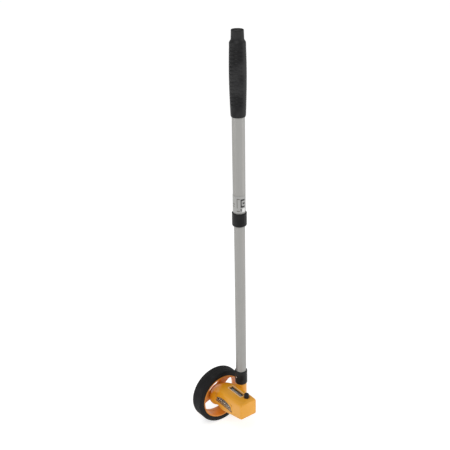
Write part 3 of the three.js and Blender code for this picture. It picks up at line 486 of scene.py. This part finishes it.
@finish_named
def side_print(settings):
    """The side label: a dark panel with an arched top, a cream line and bars, and a dark stripe below."""
    paint = Paint("side_label")
    low, high = CORNERS["side_label"]
    along = (high[1] - paint.axis("Y")) / MM
    up = (paint.axis("Z") - low[2]) / MM
    soft = 0.12
    middle = along - 23.5
    arch = 14.0 - middle * middle * 0.013
    panel = along.between(3.5, 43, soft) * up.ramp(3.4, 3.6) * (arch - up).ramp(-0.1, 0.1)
    inner = along.between(5.5, 41, soft) * up.ramp(4.2, 4.4) * (arch - up).ramp(0.9, 1.1)
    rule = along.between(5.8, 40.7, soft) * up.ramp(4.5, 4.7) * (arch - up).ramp(1.2, 1.4)
    stripe = along.between(0.6, 45.4, soft) * up.between(0.4, 2.8, soft)
    bars = [
        along.between(start, start + width, soft) * up.between(7, 8.7, soft)
        for start, width in ((10, 2.4), (14.2, 3.6), (20.4, 1.8), (24.4, 3.8), (31.2, 1.6), (35, 2.2))
    ]
    small = wave_mask(along, 1.3, 0.5) * along.between(5, 41, soft) * up.between(1.4, 1.75, soft)
    yellow = settings.yellow
    dark, cream = settings.panel, settings.cream
    base = paint.blend(paint.noise(80, 3), darker(yellow, 0.95), yellow)
    base = inked(paint, base, [panel, stripe], dark)
    base = inked(paint, base, [inner * (1 - rule), small], cream)
    base = inked(paint, base, bars, cream)
    film = paint.noise(300, 3)
    return paint.finish(base, 0.28 + film * 0.15, paint.bump(film, 0.01 * MM), Specular_IOR_Level=0.5)


@finish_named
def pole_print():
    """The pole's sticker on the sheet's u and v: grey film, bold black bars, faint ones and a painted
    highlight as a pale box near the high-u end.
    """
    paint = Paint("pole_label")
    uv = paint.node("ShaderNodeUVMap", {"uv_map": "sheet"})
    u, v = paint.axis("X", uv), paint.axis("Y", uv)
    soft = 0.006

    def boxes(*sides):
        """One mask for each box, given by where it starts and ends along u and v."""
        return [u.between(*box[:2], soft) * v.between(*box[2:], soft) for box in sides]

    bold = boxes(
        (0.7, 0.95, 0.74, 0.84),
        (0.7, 0.76, 0.4, 0.74),
        (0.81, 0.95, 0.54, 0.64),
        (0.7, 0.95, 0.34, 0.44),
        (0.7, 0.75, 0.12, 0.28),
    )
    faint = boxes(
        (0.5, 0.54, 0.3, 0.86),
        (0.5, 0.66, 0.82, 0.88),
        (0.5, 0.66, 0.1, 0.16),
        (0.2, 0.4, 0.5, 0.56),
        (0.2, 0.36, 0.36, 0.42),
    )
    # Painted highlight: a pale box near the sticker's high-u end.
    painted_highlight = boxes((0.79, 0.97, 0.06, 0.28))
    base = paint.blend(paint.noise(120, 3), (0.3, 0.3, 0.29), (0.38, 0.38, 0.37))
    base = inked(paint, base, faint, (0.13, 0.12, 0.11))
    base = inked(paint, base, painted_highlight, (0.7, 0.7, 0.69))
    base = inked(paint, base, bold, (0.012, 0.012, 0.012))
    film = paint.noise(400, 3)
    return paint.finish(base, 0.3 + film * 0.16, paint.bump(film, 0.01 * MM))


@finish_named
def studio_floor(colour, glow):
    """Pale painted floor with the faintest mottling, which gives off a little light of its own."""
    paint = Paint("floor_paint")
    mottle = paint.noise(3, 3)
    base = paint.blend(mottle, colour, darker(colour, 0.985))
    return paint.finish(
        base,
        0.75 + mottle * 0.1,
        paint.bump(mottle, 0.05 * MM),
        Specular_IOR_Level=0.1,
        Emission_Color=(1, 1, 1, 1),
        Emission_Strength=glow,
    )


# ---- Surfaces ----------------------------------------------------------------------------------------------


def rounded(outline, size, steps=4):
    """Rounds each corner P of a closed outline with the curve (1-t)^2 A + 2t(1-t) P + t^2 B, where A and B
    lie a size from P along its two sides, or at 0.45 of a shorter side."""
    here = np.array(outline, float)
    t = np.linspace(0, 1, steps + 1)[None, :, None]

    def towards(other):
        side = other - here
        reach = np.linalg.norm(side, axis=1, keepdims=True)
        return here + side * np.minimum(0.45, size / np.maximum(reach, 1e-9))

    before, after = towards(np.roll(here, 1, 0)), towards(np.roll(here, -1, 0))
    curve = (1 - t) ** 2 * before[:, None] + 2 * t * (1 - t) * here[:, None] + t**2 * after[:, None]
    return curve.reshape(-1, 2)


def spread(outline, step):
    """Adds evenly spaced points to a closed outline so that no side is longer than a step."""
    here = np.array(outline, float)
    there = np.roll(here, -1, 0)
    counts = np.maximum(1, np.ceil(np.linalg.norm(there - here, axis=1) / step).astype(int))
    index = np.repeat(np.arange(len(here)), counts)
    first = np.repeat(np.cumsum(counts) - counts, counts)
    share = (np.arange(counts.sum()) - first) / np.repeat(counts, counts)
    return here[index] + (there - here)[index] * share[:, None]


def closed_mesh(name, points, sharp=35, loop=True):
    """A mesh from a grid of points, with quads (i, j), (i, j+1), (i+1, j+1), (i+1, j). Each row closes on
    itself, and the last row meets the first unless loop is off. Points that meet are merged, which closes
    poles, and faces are turned outwards where the enclosed volume, the sum of a . (b x c) / 6, is below 0."""
    rows, columns = points.shape[:2]
    i, j = np.meshgrid(np.arange(rows if loop else rows - 1), np.arange(columns), indexing="ij")

    def at(row, column):
        return (row % rows) * columns + column % columns

    quads = np.stack([at(i, j), at(i, j + 1), at(i + 1, j + 1), at(i + 1, j)], -1).reshape(-1, 4)
    flat = points.reshape(-1, 3)
    a, b, c, d = (flat[quads[:, k]] for k in range(4))
    volume = (np.cross(b, c) * a).sum() + (np.cross(c, d) * a).sum()
    if volume < 0:
        quads = quads[:, ::-1]
    mesh = bpy.data.meshes.new(name)
    mesh.from_pydata(flat.tolist(), [], quads.tolist())
    sewn = bmesh.new()
    sewn.from_mesh(mesh)
    bmesh.ops.remove_doubles(sewn, verts=sewn.verts, dist=1e-7)
    bmesh.ops.dissolve_degenerate(sewn, edges=sewn.edges, dist=1e-8)
    sewn.to_mesh(mesh)
    sewn.free()
    mesh.polygons.foreach_set("use_smooth", np.ones(len(mesh.polygons), bool))
    mesh.set_sharp_from_angle(angle=math.radians(sharp))
    return mesh


def turned(profile, centre, axis="Z", segments=96, dent=None):
    """Carries a closed profile of (radius, height) round an axis: the point at angle a is centre + r cos a
    along the first cross direction, r sin a along the second and h along the axis. dent(r, h, a) is taken
    off r."""
    outline = np.array(profile, float)
    angle = np.linspace(0, 2 * np.pi, segments, endpoint=False)
    r, a = np.meshgrid(outline[:, 0], angle, indexing="ij")
    h = np.broadcast_to(outline[:, 1:2], r.shape)
    if dent is not None:
        r = r - dent(r, h, a)
    places = {"Z": (r * np.cos(a), r * np.sin(a), h), "Y": (r * np.cos(a), h, r * np.sin(a))}[axis]
    return np.stack(places, -1) + np.array(centre)


def wave(value, width, soft):
    """1 inside half a width of each whole number of value and 0 outside, softened."""
    off = np.abs(value - np.round(value))
    return 1 - smooth_step((off - width / 2) / soft + 0.5)


def smooth_step(t):
    t = np.clip(t, 0, 1)
    return t * t * (3 - 2 * t)


def add_piece(name, mesh, material, body, nodes):
    """Links a mesh as a visual piece that stands for CAD nodes and rides on their body."""
    made = bpy.data.objects.new(name, mesh)
    bpy.context.scene.collection.objects.link(made)
    mesh.materials.append(material)
    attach(made, body)
    if nodes:
        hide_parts(*nodes)
    return made


def even_shading():
    """A node group that merges a mesh's loose triangles and shades it smooth but for its sharp edges."""
    if "even_shading" in bpy.data.node_groups:
        return bpy.data.node_groups["even_shading"]
    group = bpy.data.node_groups.new("even_shading", "GeometryNodeTree")
    for side in ("INPUT", "OUTPUT"):
        group.interface.new_socket("Geometry", in_out=side, socket_type="NodeSocketGeometry")

    def step(kind, settings, values):
        made = group.nodes.new(kind)
        for key, value in settings.items():
            setattr(made, key, value)
        for key, value in values.items():
            if isinstance(value, bpy.types.NodeSocket):
                group.links.new(value, made.inputs[key])
            else:
                made.inputs[key].default_value = value
        return made.outputs[0] if made.outputs else None

    mesh = step("NodeGroupInput", {}, {})
    mesh = step("GeometryNodeRemoveAttribute", {}, {"Geometry": mesh, "Name": "custom_normal"})
    mesh = step("GeometryNodeMergeByDistance", {}, {"Geometry": mesh, "Distance": 2e-6})
    angle = step("GeometryNodeInputMeshEdgeAngle", {}, {})
    above = {"data_type": "FLOAT", "operation": "GREATER_THAN"}
    sharp = step("FunctionNodeCompare", above, {0: angle, 1: SHARP_EDGE})
    mesh = step("GeometryNodeSetShadeSmooth", {"domain": "FACE"}, {"Geometry": mesh, "Shade Smooth": True})
    mesh = step(
        "GeometryNodeSetShadeSmooth",
        {"domain": "EDGE"},
        {"Geometry": mesh, "Selection": sharp, "Shade Smooth": False},
    )
    step("NodeGroupOutput", {}, {"Geometry": mesh})
    return group


def dress(names, material):
    """Gives CAD nodes a finish, even shading and normals weighted towards their large faces."""
    for name in names:
        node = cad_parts[name]
        node.data.materials.clear()
        node.data.materials.append(material)
        shading = node.modifiers.new("Even shading", "NODES")
        shading.node_group = even_shading()
        weighted = node.modifiers.new("Weighted normals", "WEIGHTED_NORMAL")
        weighted.keep_sharp = True


# ---- Pieces ------------------------------------------------------------------------------------------------


class MAKER_OT_tyre(Operator):
    """Make the ribbed rubber tyre"""

    bl_idname = "measuring_wheel.tyre"
    bl_label = "Tyre"

    def execute(self, context):
        sizes = context.scene.rolling_wheel
        low, high = CORNERS["tyre"]
        outer = radius_across("tyre")
        seat = outer - 8.6 * MM
        edge = 1.6 * MM
        section = [
            (seat, low[1]),
            (outer - edge, low[1]),
            (outer, low[1] + edge),
            (outer, high[1] - edge),
            (outer - edge, high[1]),
            (seat, high[1]),
        ]
        profile = spread(rounded(section, 1.3 * MM, 5), 1.6 * MM)

        def grooves(r, y, angle):
            """Depth times one across each gap between ribs, times one on the tread's flat."""
            gap_here = wave(angle * sizes.ribs / (2 * np.pi), 0.34, 0.22)
            on_tread = smooth_step((r - (outer - 0.9 * MM)) / (0.6 * MM))
            centre_line = 1 - np.exp(-(((y - (low[1] + high[1]) / 2) / (0.5 * MM)) ** 2))
            return sizes.rib_depth * on_tread * np.maximum(gap_here, 1 - centre_line)

        points = turned(profile, (0, 0, 0), "Y", sizes.ribs * 6, grooves)
        mesh = closed_mesh("tyre_skin", points, 60)
        rubber = rubber_tyre(sizes.rubber)
        add_piece("ribbed_tyre", mesh, rubber, "rolling_wheel", ["tyre"])
        return {"FINISHED"}


class MAKER_OT_wheel(Operator):
    """Finish the moulded wheel and make its hub cap"""

    bl_idname = "measuring_wheel.wheel"
    bl_label = "Wheel and hub cap"

    def execute(self, context):
        dress(["wheel"], wheel_orange(context.scene.rolling_wheel.orange))
        low, high = CORNERS["hub_cap"]
        outer = radius_across("hub_cap")
        under = high[1] - 1.5 * MM
        section = [
            (0, under),
            (5.8 * MM, under),
            (5.8 * MM, low[1]),
            (7 * MM, low[1]),
            (7 * MM, under),
            (outer, under),
            (outer, high[1] - 0.5 * MM),
            (outer - 0.6 * MM, high[1]),
            (6.4 * MM, high[1]),
            (6.2 * MM, high[1] - 0.25 * MM),
            (5.4 * MM, high[1] - 0.25 * MM),
            (5.2 * MM, high[1]),
            (0, high[1]),
        ]
        mesh = closed_mesh("hub_cap_skin", turned(section, (0, 0, 0), "Y", 96))
        black = black_plastic(context.scene.pole.black)
        add_piece("hub_cover", mesh, black, "rolling_wheel", ["hub_cap"])
        return {"FINISHED"}


class MAKER_OT_case(Operator):
    """Finish the counter case, its window and its screws, and make the side label"""

    bl_idname = "measuring_wheel.case"
    bl_label = "Case"

    def execute(self, context):
        settings = context.scene.counter_case
        dress(["case_shell", "base_cover"], case_yellow(settings))
        dress(["window_lens"], clear_window())
        dress([f"cover_screw_{i}" for i in range(1, 5)], plated_steel())
        low, high = CORNERS["side_label"]
        middle, half = (low + high) / 2, (high - low) / 2
        sheet = flat_sheet(
            "side_label_sheet",
            half[1],
            half[2],
            lambda u, v: np.stack([np.full_like(u, low[0]), middle[1] - u, middle[2] + v], -1),
        )
        made = add_piece("side_panel", sheet, side_print(settings), "lower", ["side_label"])
        thicken(made, high[0] - low[0])
        return {"FINISHED"}


def flat_sheet(name, half_width, half_height, place, corner=9, rings=12, spokes=96):
    """A sheet with rounded corners: the point at share s and angle a is s R(a) (cos a, sin a), where R(a) is
    (|cos a / w|^n + |sin a / h|^n)^(-1/n), handed to place(u, v). Its UV map holds u and v from 0 to 1."""
    share = np.linspace(0, 1, rings + 1)[1:]
    angle = np.linspace(0, 2 * np.pi, spokes, endpoint=False)
    across = np.abs(np.cos(angle) / half_width) ** corner
    upwards = np.abs(np.sin(angle) / half_height) ** corner
    reach = (across + upwards) ** (-1 / corner)
    u = np.append(np.outer(share, reach * np.cos(angle)), 0)
    v = np.append(np.outer(share, reach * np.sin(angle)), 0)
    i, j = np.meshgrid(np.arange(rings - 1), np.arange(spokes), indexing="ij")
    after = (j + 1) % spokes
    quads = np.stack([i * spokes + j, (i + 1) * spokes + j, (i + 1) * spokes + after, i * spokes + after], -1)
    spoke = np.arange(spokes)
    hub = np.stack([np.full(spokes, rings * spokes), spoke, (spoke + 1) % spokes], -1)
    mesh = bpy.data.meshes.new(name)
    mesh.from_pydata(place(u, v).tolist(), [], quads.reshape(-1, 4).tolist() + hub.tolist())
    mesh.polygons.foreach_set("use_smooth", np.ones(len(mesh.polygons), bool))
    corners = np.zeros(len(mesh.loops), int)
    mesh.loops.foreach_get("vertex_index", corners)
    uv = np.stack([u / half_width + 1, v / half_height + 1], -1)[corners] / 2
    mesh.uv_layers.new(name="sheet").data.foreach_set("uv", uv.ravel())
    return mesh


def thicken(piece, thickness):
    """Gives a sheet its thickness behind its outer face."""
    wall = piece.modifiers.new("Thickness", "SOLIDIFY")
    wall.thickness = thickness
    wall.offset = -1


class MAKER_OT_counter(Operator):
    """Finish the counter's works and print the figures on its drums"""

    bl_idname = "measuring_wheel.counter"
    bl_label = "Counter"

    def execute(self, context):
        settings = context.scene.counter_case
        steel_nodes = ["axle", "axle_screw", "axle_screw_washer", "retaining_clip", "counter_frame"]
        steel_nodes += ["counter_screw_1", "counter_screw_2", "counter_shaft", "pinion_shaft", "comb_rod"]
        steel_nodes += ["idler_pin", "reset_comb"]
        nylon_nodes = ["thrust_washer", "wheel_side_bush", "inner_bush"]
        nylon_nodes += ["drive_gear", "idler_gear", "input_gear"]
        nylon_nodes += [f"carry_pinion_{i}" for i in range(1, DRUMS)]
        dress(steel_nodes, plated_steel())
        dress(nylon_nodes, pale_nylon())
        drums = [f"number_drum_{i}" for i in range(1, DRUMS + 1)]
        dress(drums, drum_white(settings.drum))
        figures = [self.figure(str(value), settings.figure_height) for value in range(10)]
        for place, drum in enumerate(drums, 1):
            self.print_drum(place, drum, figures)
        return {"FINISHED"}

    def figure(self, text, height):
        """One figure as flat triangles of a given height about its own middle."""
        curve = bpy.data.curves.new("figure", "FONT")
        curve.body = text
        holder = bpy.data.objects.new("figure", curve)
        bpy.context.scene.collection.objects.link(holder)
        bpy.context.view_layer.update()
        shape = bmesh.new()
        shape.from_mesh(holder.to_mesh())
        bmesh.ops.remove_doubles(shape, verts=shape.verts, dist=1e-5)
        bmesh.ops.triangulate(shape, faces=shape.faces)
        bmesh.ops.subdivide_edges(shape, edges=shape.edges, cuts=2, use_grid_fill=True)
        bmesh.ops.triangulate(shape, faces=shape.faces)
        flat = np.array([vertex.co[:2] for vertex in shape.verts])
        shape.verts.index_update()
        faces = np.array([[vertex.index for vertex in face.verts] for face in shape.faces])
        shape.free()
        bpy.data.objects.remove(holder)
        bpy.data.curves.remove(curve)
        size = flat.max(0) - flat.min(0)
        flat = (flat - flat.min(0) - size / 2) * (height / size[1])
        a, b, c = (flat[faces[:, k]] for k in range(3))
        backwards = np.cross(b - a, c - a) < 0
        faces[backwards] = faces[backwards][:, ::-1]
        return flat, faces

    def print_drum(self, place, drum, figures):
        """Wraps the ten figures round a drum's rim: across is y, and a height h on a figure is at the angle
        t - h / R from the top towards +X, where t is a tenth of a turn for each figure."""
        low, high = CORNERS[drum]
        middle = (low[[0, 2]] + high[[0, 2]]) / 2
        radius = (high[0] - low[0]) / 2 + INK
        rim = CORNERS["number_drum_1"][1][1] - RIM_MIDDLE - (place - 1) * DRUM_PITCH
        points, faces, count = [], [], 0
        for value, (flat, triangles) in enumerate(figures):
            angle = 2 * np.pi * value / 10 - flat[:, 1] / radius
            x, z = middle[0] + radius * np.sin(angle), middle[1] + radius * np.cos(angle)
            points.append(np.stack([x, rim + flat[:, 0], z], -1))
            faces.append(triangles + count)
            count += len(flat)
        mesh = bpy.data.meshes.new(f"figures_{place}_print")
        mesh.from_pydata(np.concatenate(points).tolist(), [], np.concatenate(faces).tolist())
        made = add_piece(f"figures_{place}", mesh, figure_ink(), f"drum_{place}", [])
        thicken(made, INK / 1.5)


class MAKER_OT_button(Operator):
    """Make the reset button with its dished top"""

    bl_idname = "measuring_wheel.button"
    bl_label = "Reset button"

    def execute(self, context):
        low, high = CORNERS["reset_button"]
        middle = (low + high) / 2
        flange = (high[0] - low[0]) / 2
        cap, stem = flange - 1 * MM, 1.6 * MM
        ledge = high[2] - 9.4 * MM
        under = ledge - 1.2 * MM
        section = [
            (0, low[2]),
            (stem - 1 * MM, low[2]),
            (stem, low[2] + 1.4 * MM),
            (stem, under),
            (flange, under),
            (flange, ledge),
            (cap, ledge),
            (cap, high[2] - 1.4 * MM),
            (cap - 0.4 * MM, high[2] - 0.5 * MM),
            (cap - 1.2 * MM, high[2]),
            (cap - 1.8 * MM, high[2] - 0.3 * MM),
            (cap - 3 * MM, high[2] - 0.7 * MM),
            (0, high[2] - 0.8 * MM),
        ]
        mesh = closed_mesh("button_skin", turned(section, (middle[0], middle[1], 0), "Z", 72), 40)
        black = black_plastic(context.scene.pole.black)
        add_piece("push_button", mesh, black, "button", ["reset_button"])
        self.coil_spring()
        return {"FINISHED"}

    def coil_spring(self):
        """Carries a round wire along a helix: at share t the helix is at angle 2 pi n t and its height rises
        evenly, and the wire's radius is w min(1, sin(pi t) / 0.02), which closes its ends."""
        low, high = CORNERS["button_spring"]
        wire, turns, travel = 0.3 * MM, 3.5, 2 * MM
        middle, helix = (low + high) / 2, (high[0] - low[0]) / 2 - wire
        around = np.linspace(0, 2 * np.pi, 12, endpoint=False)
        t, a = np.meshgrid(np.linspace(0, 1, 240), around, indexing="ij")
        bearing = 2 * np.pi * turns * t
        thick = wire * np.minimum(1, np.sin(np.pi * t) / 0.02)
        reach = helix + thick * np.cos(a)
        height = low[2] + wire + (high[2] - low[2] - 2 * wire) * t + thick * np.sin(a)
        x, y = middle[0] + reach * np.cos(bearing), middle[1] + reach * np.sin(bearing)
        mesh = closed_mesh("spring_wire", np.stack([x, y, height], -1), 60, loop=False)
        made = add_piece("coil_spring", mesh, plated_steel(), "lower", ["button_spring"])
        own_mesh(made)


class MAKER_OT_tubes(Operator):
    """Make the two aluminium tubes and finish the guide bush between them"""

    bl_idname = "measuring_wheel.tubes"
    bl_label = "Tubes"

    def execute(self, context):
        satin = satin_aluminium(context.scene.pole.aluminium)
        for name, node, body in (
            ("lower_pole_tube", "lower_tube", "lower"),
            ("upper_pole_tube", "upper_tube", "upper_pole"),
        ):
            radius = radius_across(node)
            low, high = bottom(node), top(node)
            inside = radius - TUBE_WALL
            section = [(inside, low), (radius, low), (radius, high), (inside, high)]
            profile = spread(rounded(section, 0.3 * MM, 3), 12 * MM)
            mesh = closed_mesh(f"{node}_skin", turned(profile, (*POLE, 0), "Z", 112), 50)
            add_piece(name, mesh, satin, body, [node])
        dress(["guide_bush"], pale_nylon())
        return {"FINISHED"}


class MAKER_OT_collars(Operator):
    """Finish the lower collar, its pin and the clamp, and make the twist lock's ring"""

    bl_idname = "measuring_wheel.collars"
    bl_label = "Collars and lock"

    def execute(self, context):
        black = black_plastic(context.scene.pole.black)
        dress(["lower_collar", "clamp_collet"], black)
        dress(["collar_pin"], plated_steel())
        outer = radius_across("lock_ring")
        low, high = bottom("lock_ring"), top("lock_ring")
        throat = radius_across("lower_tube") + FIT
        mouth = radius_across("upper_tube") + FIT
        collet = radius_across("clamp_collet") + 0.25 * MM
        section = [
            (throat, low),
            (outer - 2.2 * MM, low),
            (outer - 0.7 * MM, low + 0.8 * MM),
            (outer, low + 2.4 * MM),
            (outer, low + 4.2 * MM),
            (outer - 0.35 * MM, low + 4.5 * MM),
            (outer - 0.35 * MM, low + 5.1 * MM),
            (outer, low + 5.4 * MM),
            (outer, high - 0.6 * MM),
            (outer - 0.5 * MM, high),
            (mouth, high),
            (mouth, high - 1.3 * MM),
            (collet, high - 1.3 * MM),
            (collet, low + 3.4 * MM),
            (collet - 0.9 * MM, low + 1.4 * MM),
            (throat, low + 1.4 * MM),
        ]
        profile = spread(rounded(section, 0.3 * MM, 3), 1.5 * MM)

        def flutes(r, z, angle):
            """Shallow finger flutes: 0.22 mm times cos(9 a)^8, over the ring's plain middle."""
            on_side = smooth_step((r - (outer - 0.2 * MM)) / (0.15 * MM))
            above, below = z - low - 7 * MM, high - 2.5 * MM - z
            inside = smooth_step(above / (1.5 * MM)) * smooth_step(below / (1.5 * MM))
            return 0.22 * MM * on_side * inside * np.cos(9 * angle) ** 8

        mesh = closed_mesh("lock_skin", turned(profile, (*POLE, 0), "Z", 216, flutes), 40)
        add_piece("twist_lock", mesh, black, "lock", ["lock_ring"])
        return {"FINISHED"}


class MAKER_OT_pole_label(Operator):
    """Make the sticker on the upper tube"""

    bl_idname = "measuring_wheel.pole_label"
    bl_label = "Pole label"

    def execute(self, context):
        low, high = CORNERS["pole_label"]
        radius = radius_across("upper_tube") + 0.4 * MM
        facing = math.radians(210)
        half_arc = math.radians(84) * radius

        def bent(u, v):
            """Bends the sheet round the pole: the angle is facing + u / r."""
            angle = facing + u / radius
            return np.stack(
                [
                    POLE[0] + radius * np.cos(angle),
                    POLE[1] + radius * np.sin(angle),
                    (low[2] + high[2]) / 2 + v,
                ],
                -1,
            )

        sheet = flat_sheet("pole_label_sheet", half_arc, (high[2] - low[2]) / 2, bent, 14, 24, 128)
        made = add_piece("pole_sticker", sheet, pole_print(), "upper_pole", ["pole_label"])
        thicken(made, 0.2 * MM)
        return {"FINISHED"}


class MAKER_OT_grip(Operator):
    """Make the ribbed hand grip and its end plug"""

    bl_idname = "measuring_wheel.grip"
    bl_label = "Hand grip"

    def execute(self, context):
        settings = context.scene.pole
        low, high = bottom("hand_grip"), top("hand_grip")
        middle = radius_across("hand_grip")
        start = middle - 1.9 * MM
        tip = radius_across("upper_tube") - 0.4 * MM
        bore = radius_across("upper_tube") + FIT
        plug = radius_across("end_plug") + FIT
        shoulder, tube_end = high - 18 * MM, high - 15.7 * MM
        share = np.linspace(0, 1, 12)
        swell = np.sin(np.pi * np.minimum(1, 0.05 + 0.75 * share))
        rise = low + 3 * MM + (shoulder - low - 7 * MM) * share
        side = np.stack([start + (middle - start) * swell, rise], -1)
        crown = [
            (middle - 0.9 * MM, shoulder),
            (tip + 1.2 * MM, shoulder + 2.4 * MM),
            (tip + 0.3 * MM, shoulder + 4 * MM),
            (tip - 0.1 * MM, high - 3 * MM),
            (tip, high - 0.8 * MM),
            (tip - 0.8 * MM, high),
            (plug, high),
            (plug, tube_end),
            (bore, tube_end),
            (bore, low),
            (start - 0.7 * MM, low),
            (start, low + 1 * MM),
        ]
        profile = spread(rounded([*side.tolist(), *crown], 0.7 * MM, 4), 0.5 * MM)
        panel_low, panel_high = low + 19 * MM, low + 106.5 * MM
        ribs_face, half_arc = math.radians(218), math.radians(46)

        def relief(r, z, angle):
            """Grooves at each rib pitch of z less a bow of 2 mm (1 - b^2) across the finger side, where b is
            the angle from the ribs' bearing over half their arc; a seam at b = 1.06, and rings behind it."""
            outside = smooth_step((r - bore - 0.5 * MM) / (0.4 * MM))
            b = (np.mod(angle, 2 * np.pi) - ribs_face) / half_arc
            bow = 2.0 * MM * (1 - b * b) - 0.8 * MM * b
            across = smooth_step((1 - np.abs(b)) / 0.08)
            along = smooth_step((z - panel_low) / (1.2 * MM)) * smooth_step((panel_high - z) / (1.2 * MM))
            ribs = wave((z - panel_low - bow) / settings.rib_pitch, 0.34, 0.22) * across * along
            seam = np.exp(-(((np.abs(b) - 1.06) / 0.02) ** 2)) * along * 0.5
            back = wave(z / (1.9 * MM), 0.4, 0.5) * smooth_step((np.abs(b) - 1.35) / 0.1) * along * 0.35
            return settings.rib_depth * outside * (ribs + seam + back)

        points = turned(profile, (*POLE, 0), "Z", 160, relief)
        rubber = grip_rubber(settings.grip)
        mesh = closed_mesh("grip_skin", points, 60)
        add_piece("moulded_grip", mesh, rubber, "upper_pole", ["hand_grip"])
        self.plug(settings, plug - FIT, tube_end - 2 * FIT)
        return {"FINISHED"}

    def plug(self, settings, radius, ledge):
        """The end plug: a stub inside the tube up to a ledge, and a round head with a rim."""
        foot, face = bottom("end_plug"), top("end_plug")
        stub = radius_across("upper_tube") - TUBE_WALL - FIT
        section = [
            (0, foot),
            (stub - 1 * MM, foot),
            (stub, foot + 1 * MM),
            (stub, ledge),
            (radius, ledge),
            (radius, face - 0.5 * MM),
            (radius - 0.4 * MM, face),
            (radius - 1.6 * MM, face),
            (radius - 2.2 * MM, face - 0.5 * MM),
            (0, face - 0.35 * MM),
        ]
        mesh = closed_mesh("plug_skin", turned(section, (*POLE, 0), "Z", 72))
        black = black_plastic(settings.black)
        add_piece("grip_plug", mesh, black, "upper_pole", ["end_plug"])


# ---- Studio ------------------------------------------------------------------------------------------------


class MAKER_OT_studio(Operator):
    """Lay the floor, hang the lights and set the camera"""

    bl_idname = "measuring_wheel.studio"
    bl_label = "Studio"

    def execute(self, context):
        settings = context.scene.studio
        level = bottom("tyre") - 0.05 * MM
        rings, spokes = 9, 64
        reach = 200 * np.linspace(0, 1, rings) ** 4
        turn = np.linspace(0, 2 * np.pi, spokes, endpoint=False)
        x, y = np.outer(reach, np.cos(turn)), np.outer(reach, np.sin(turn))
        grid = np.stack([x, y, np.full_like(x, level)], -1)
        i, j = np.meshgrid(np.arange(rings - 1) * spokes, np.arange(spokes), indexing="ij")
        after = (j + 1) % spokes
        quads = np.stack([i + j, i + spokes + j, i + spokes + after, i + after], -1).reshape(-1, 4).tolist()
        mesh = bpy.data.meshes.new("floor_sheet")
        mesh.from_pydata(grid.reshape(-1, 3).tolist(), [], quads)
        mesh.materials.append(studio_floor(settings.floor, settings.glow))
        floor = bpy.data.objects.new("floor", mesh)
        context.scene.collection.objects.link(floor)
        self.hang_lights(context, settings)
        self.set_camera(context, settings)
        context.scene.view_settings.view_transform = "Standard"
        return {"FINISHED"}

    def hang_lights(self, context, settings):
        air = bpy.data.worlds.new("studio_air")
        air.use_nodes = True
        air.node_tree.nodes["Background"].inputs["Color"].default_value = (1, 1, 1, 1)
        air.node_tree.nodes["Background"].inputs["Strength"].default_value = settings.surroundings
        context.scene.world = air
        target = Vector((0, -0.04, 0.28))
        for name, place, width, height, power in (
            ("key", (-0.9, -0.75, 1.8), 0.8, 0.8, 10),
            ("strip_left", (-1.25, 0.35, 0.5), 0.12, 1.6, 1.5),
            ("strip_right", (0.95, -0.95, 0.6), 0.16, 1.6, 4),
        ):
            lamp = bpy.data.lights.new(name, "AREA")
            lamp.shape = "RECTANGLE"
            lamp.size, lamp.size_y, lamp.energy = width, height, power
            holder = bpy.data.objects.new(name, lamp)
            holder.location = place
            holder.rotation_mode = "QUATERNION"
            holder.rotation_quaternion = (target - Vector(place)).to_track_quat("-Z", "Y")
            context.scene.collection.objects.link(holder)

    def set_camera(self, context, settings):
        """Looks along a bearing and a pitch, with a slight roll about the line of sight."""
        pitch, roll = math.radians(24.25), math.radians(0.645)
        ahead = Vector((0.6118 * math.cos(pitch), 0.7910 * math.cos(pitch), -math.sin(pitch))).normalized()
        right = Vector((ahead.y, -ahead.x, 0)).normalized()
        up = right.cross(ahead)
        rolled_right = right * math.cos(roll) - up * math.sin(roll)
        rolled_up = up * math.cos(roll) + right * math.sin(roll)
        lens = bpy.data.cameras.new("camera")
        lens.sensor_width = 36
        lens.lens = settings.focal
        lens.shift_x = -0.0323
        lens.clip_end = 400
        camera = bpy.data.objects.new("camera", lens)
        turn = Matrix((rolled_right, rolled_up, -ahead)).transposed()
        camera.matrix_world = Matrix.Translation((-0.7038, -0.9875, 0.8658)) @ turn.to_4x4()
        context.scene.collection.objects.link(camera)
        context.scene.camera = camera


# ---- Panel, registration and the run -----------------------------------------------------------------------

STEPS = (
    MAKER_OT_studio,
    MAKER_OT_tyre,
    MAKER_OT_wheel,
    MAKER_OT_case,
    MAKER_OT_counter,
    MAKER_OT_button,
    MAKER_OT_tubes,
    MAKER_OT_collars,
    MAKER_OT_pole_label,
    MAKER_OT_grip,
)
GROUPS = {
    "rolling_wheel": RollingWheelSettings,
    "counter_case": CaseSettings,
    "pole": PoleSettings,
    "studio": StudioSettings,
}


class MAKER_PT_panel(Panel):
    """Lists the settings and the pieces"""

    bl_label = "Measuring wheel"
    bl_idname = "MAKER_PT_panel"
    bl_space_type = "VIEW_3D"
    bl_region_type = "UI"
    bl_category = "Measuring wheel"

    def draw(self, context):
        for name, group in GROUPS.items():
            box = self.layout.box()
            box.label(text=name.replace("_", " ").capitalize())
            for prop in group.__annotations__:
                box.prop(getattr(context.scene, name), prop)
        for step in STEPS:
            self.layout.operator(step.bl_idname)


def register():
    for made in (*GROUPS.values(), *STEPS, MAKER_PT_panel):
        bpy.utils.register_class(made)
    for name, group in GROUPS.items():
        setattr(bpy.types.Scene, name, PointerProperty(type=group))


def unregister():
    for name in GROUPS:
        delattr(bpy.types.Scene, name)
    for made in (MAKER_PT_panel, *reversed(STEPS), *reversed(tuple(GROUPS.values()))):
        bpy.utils.unregister_class(made)


def main():
    """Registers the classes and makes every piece."""
    register()
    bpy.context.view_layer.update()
    for step in STEPS:
        family, name = step.bl_idname.split(".")
        getattr(getattr(bpy.ops, family), name)()
    bpy.context.view_layer.update()


if __name__ == "__main__":
    main()
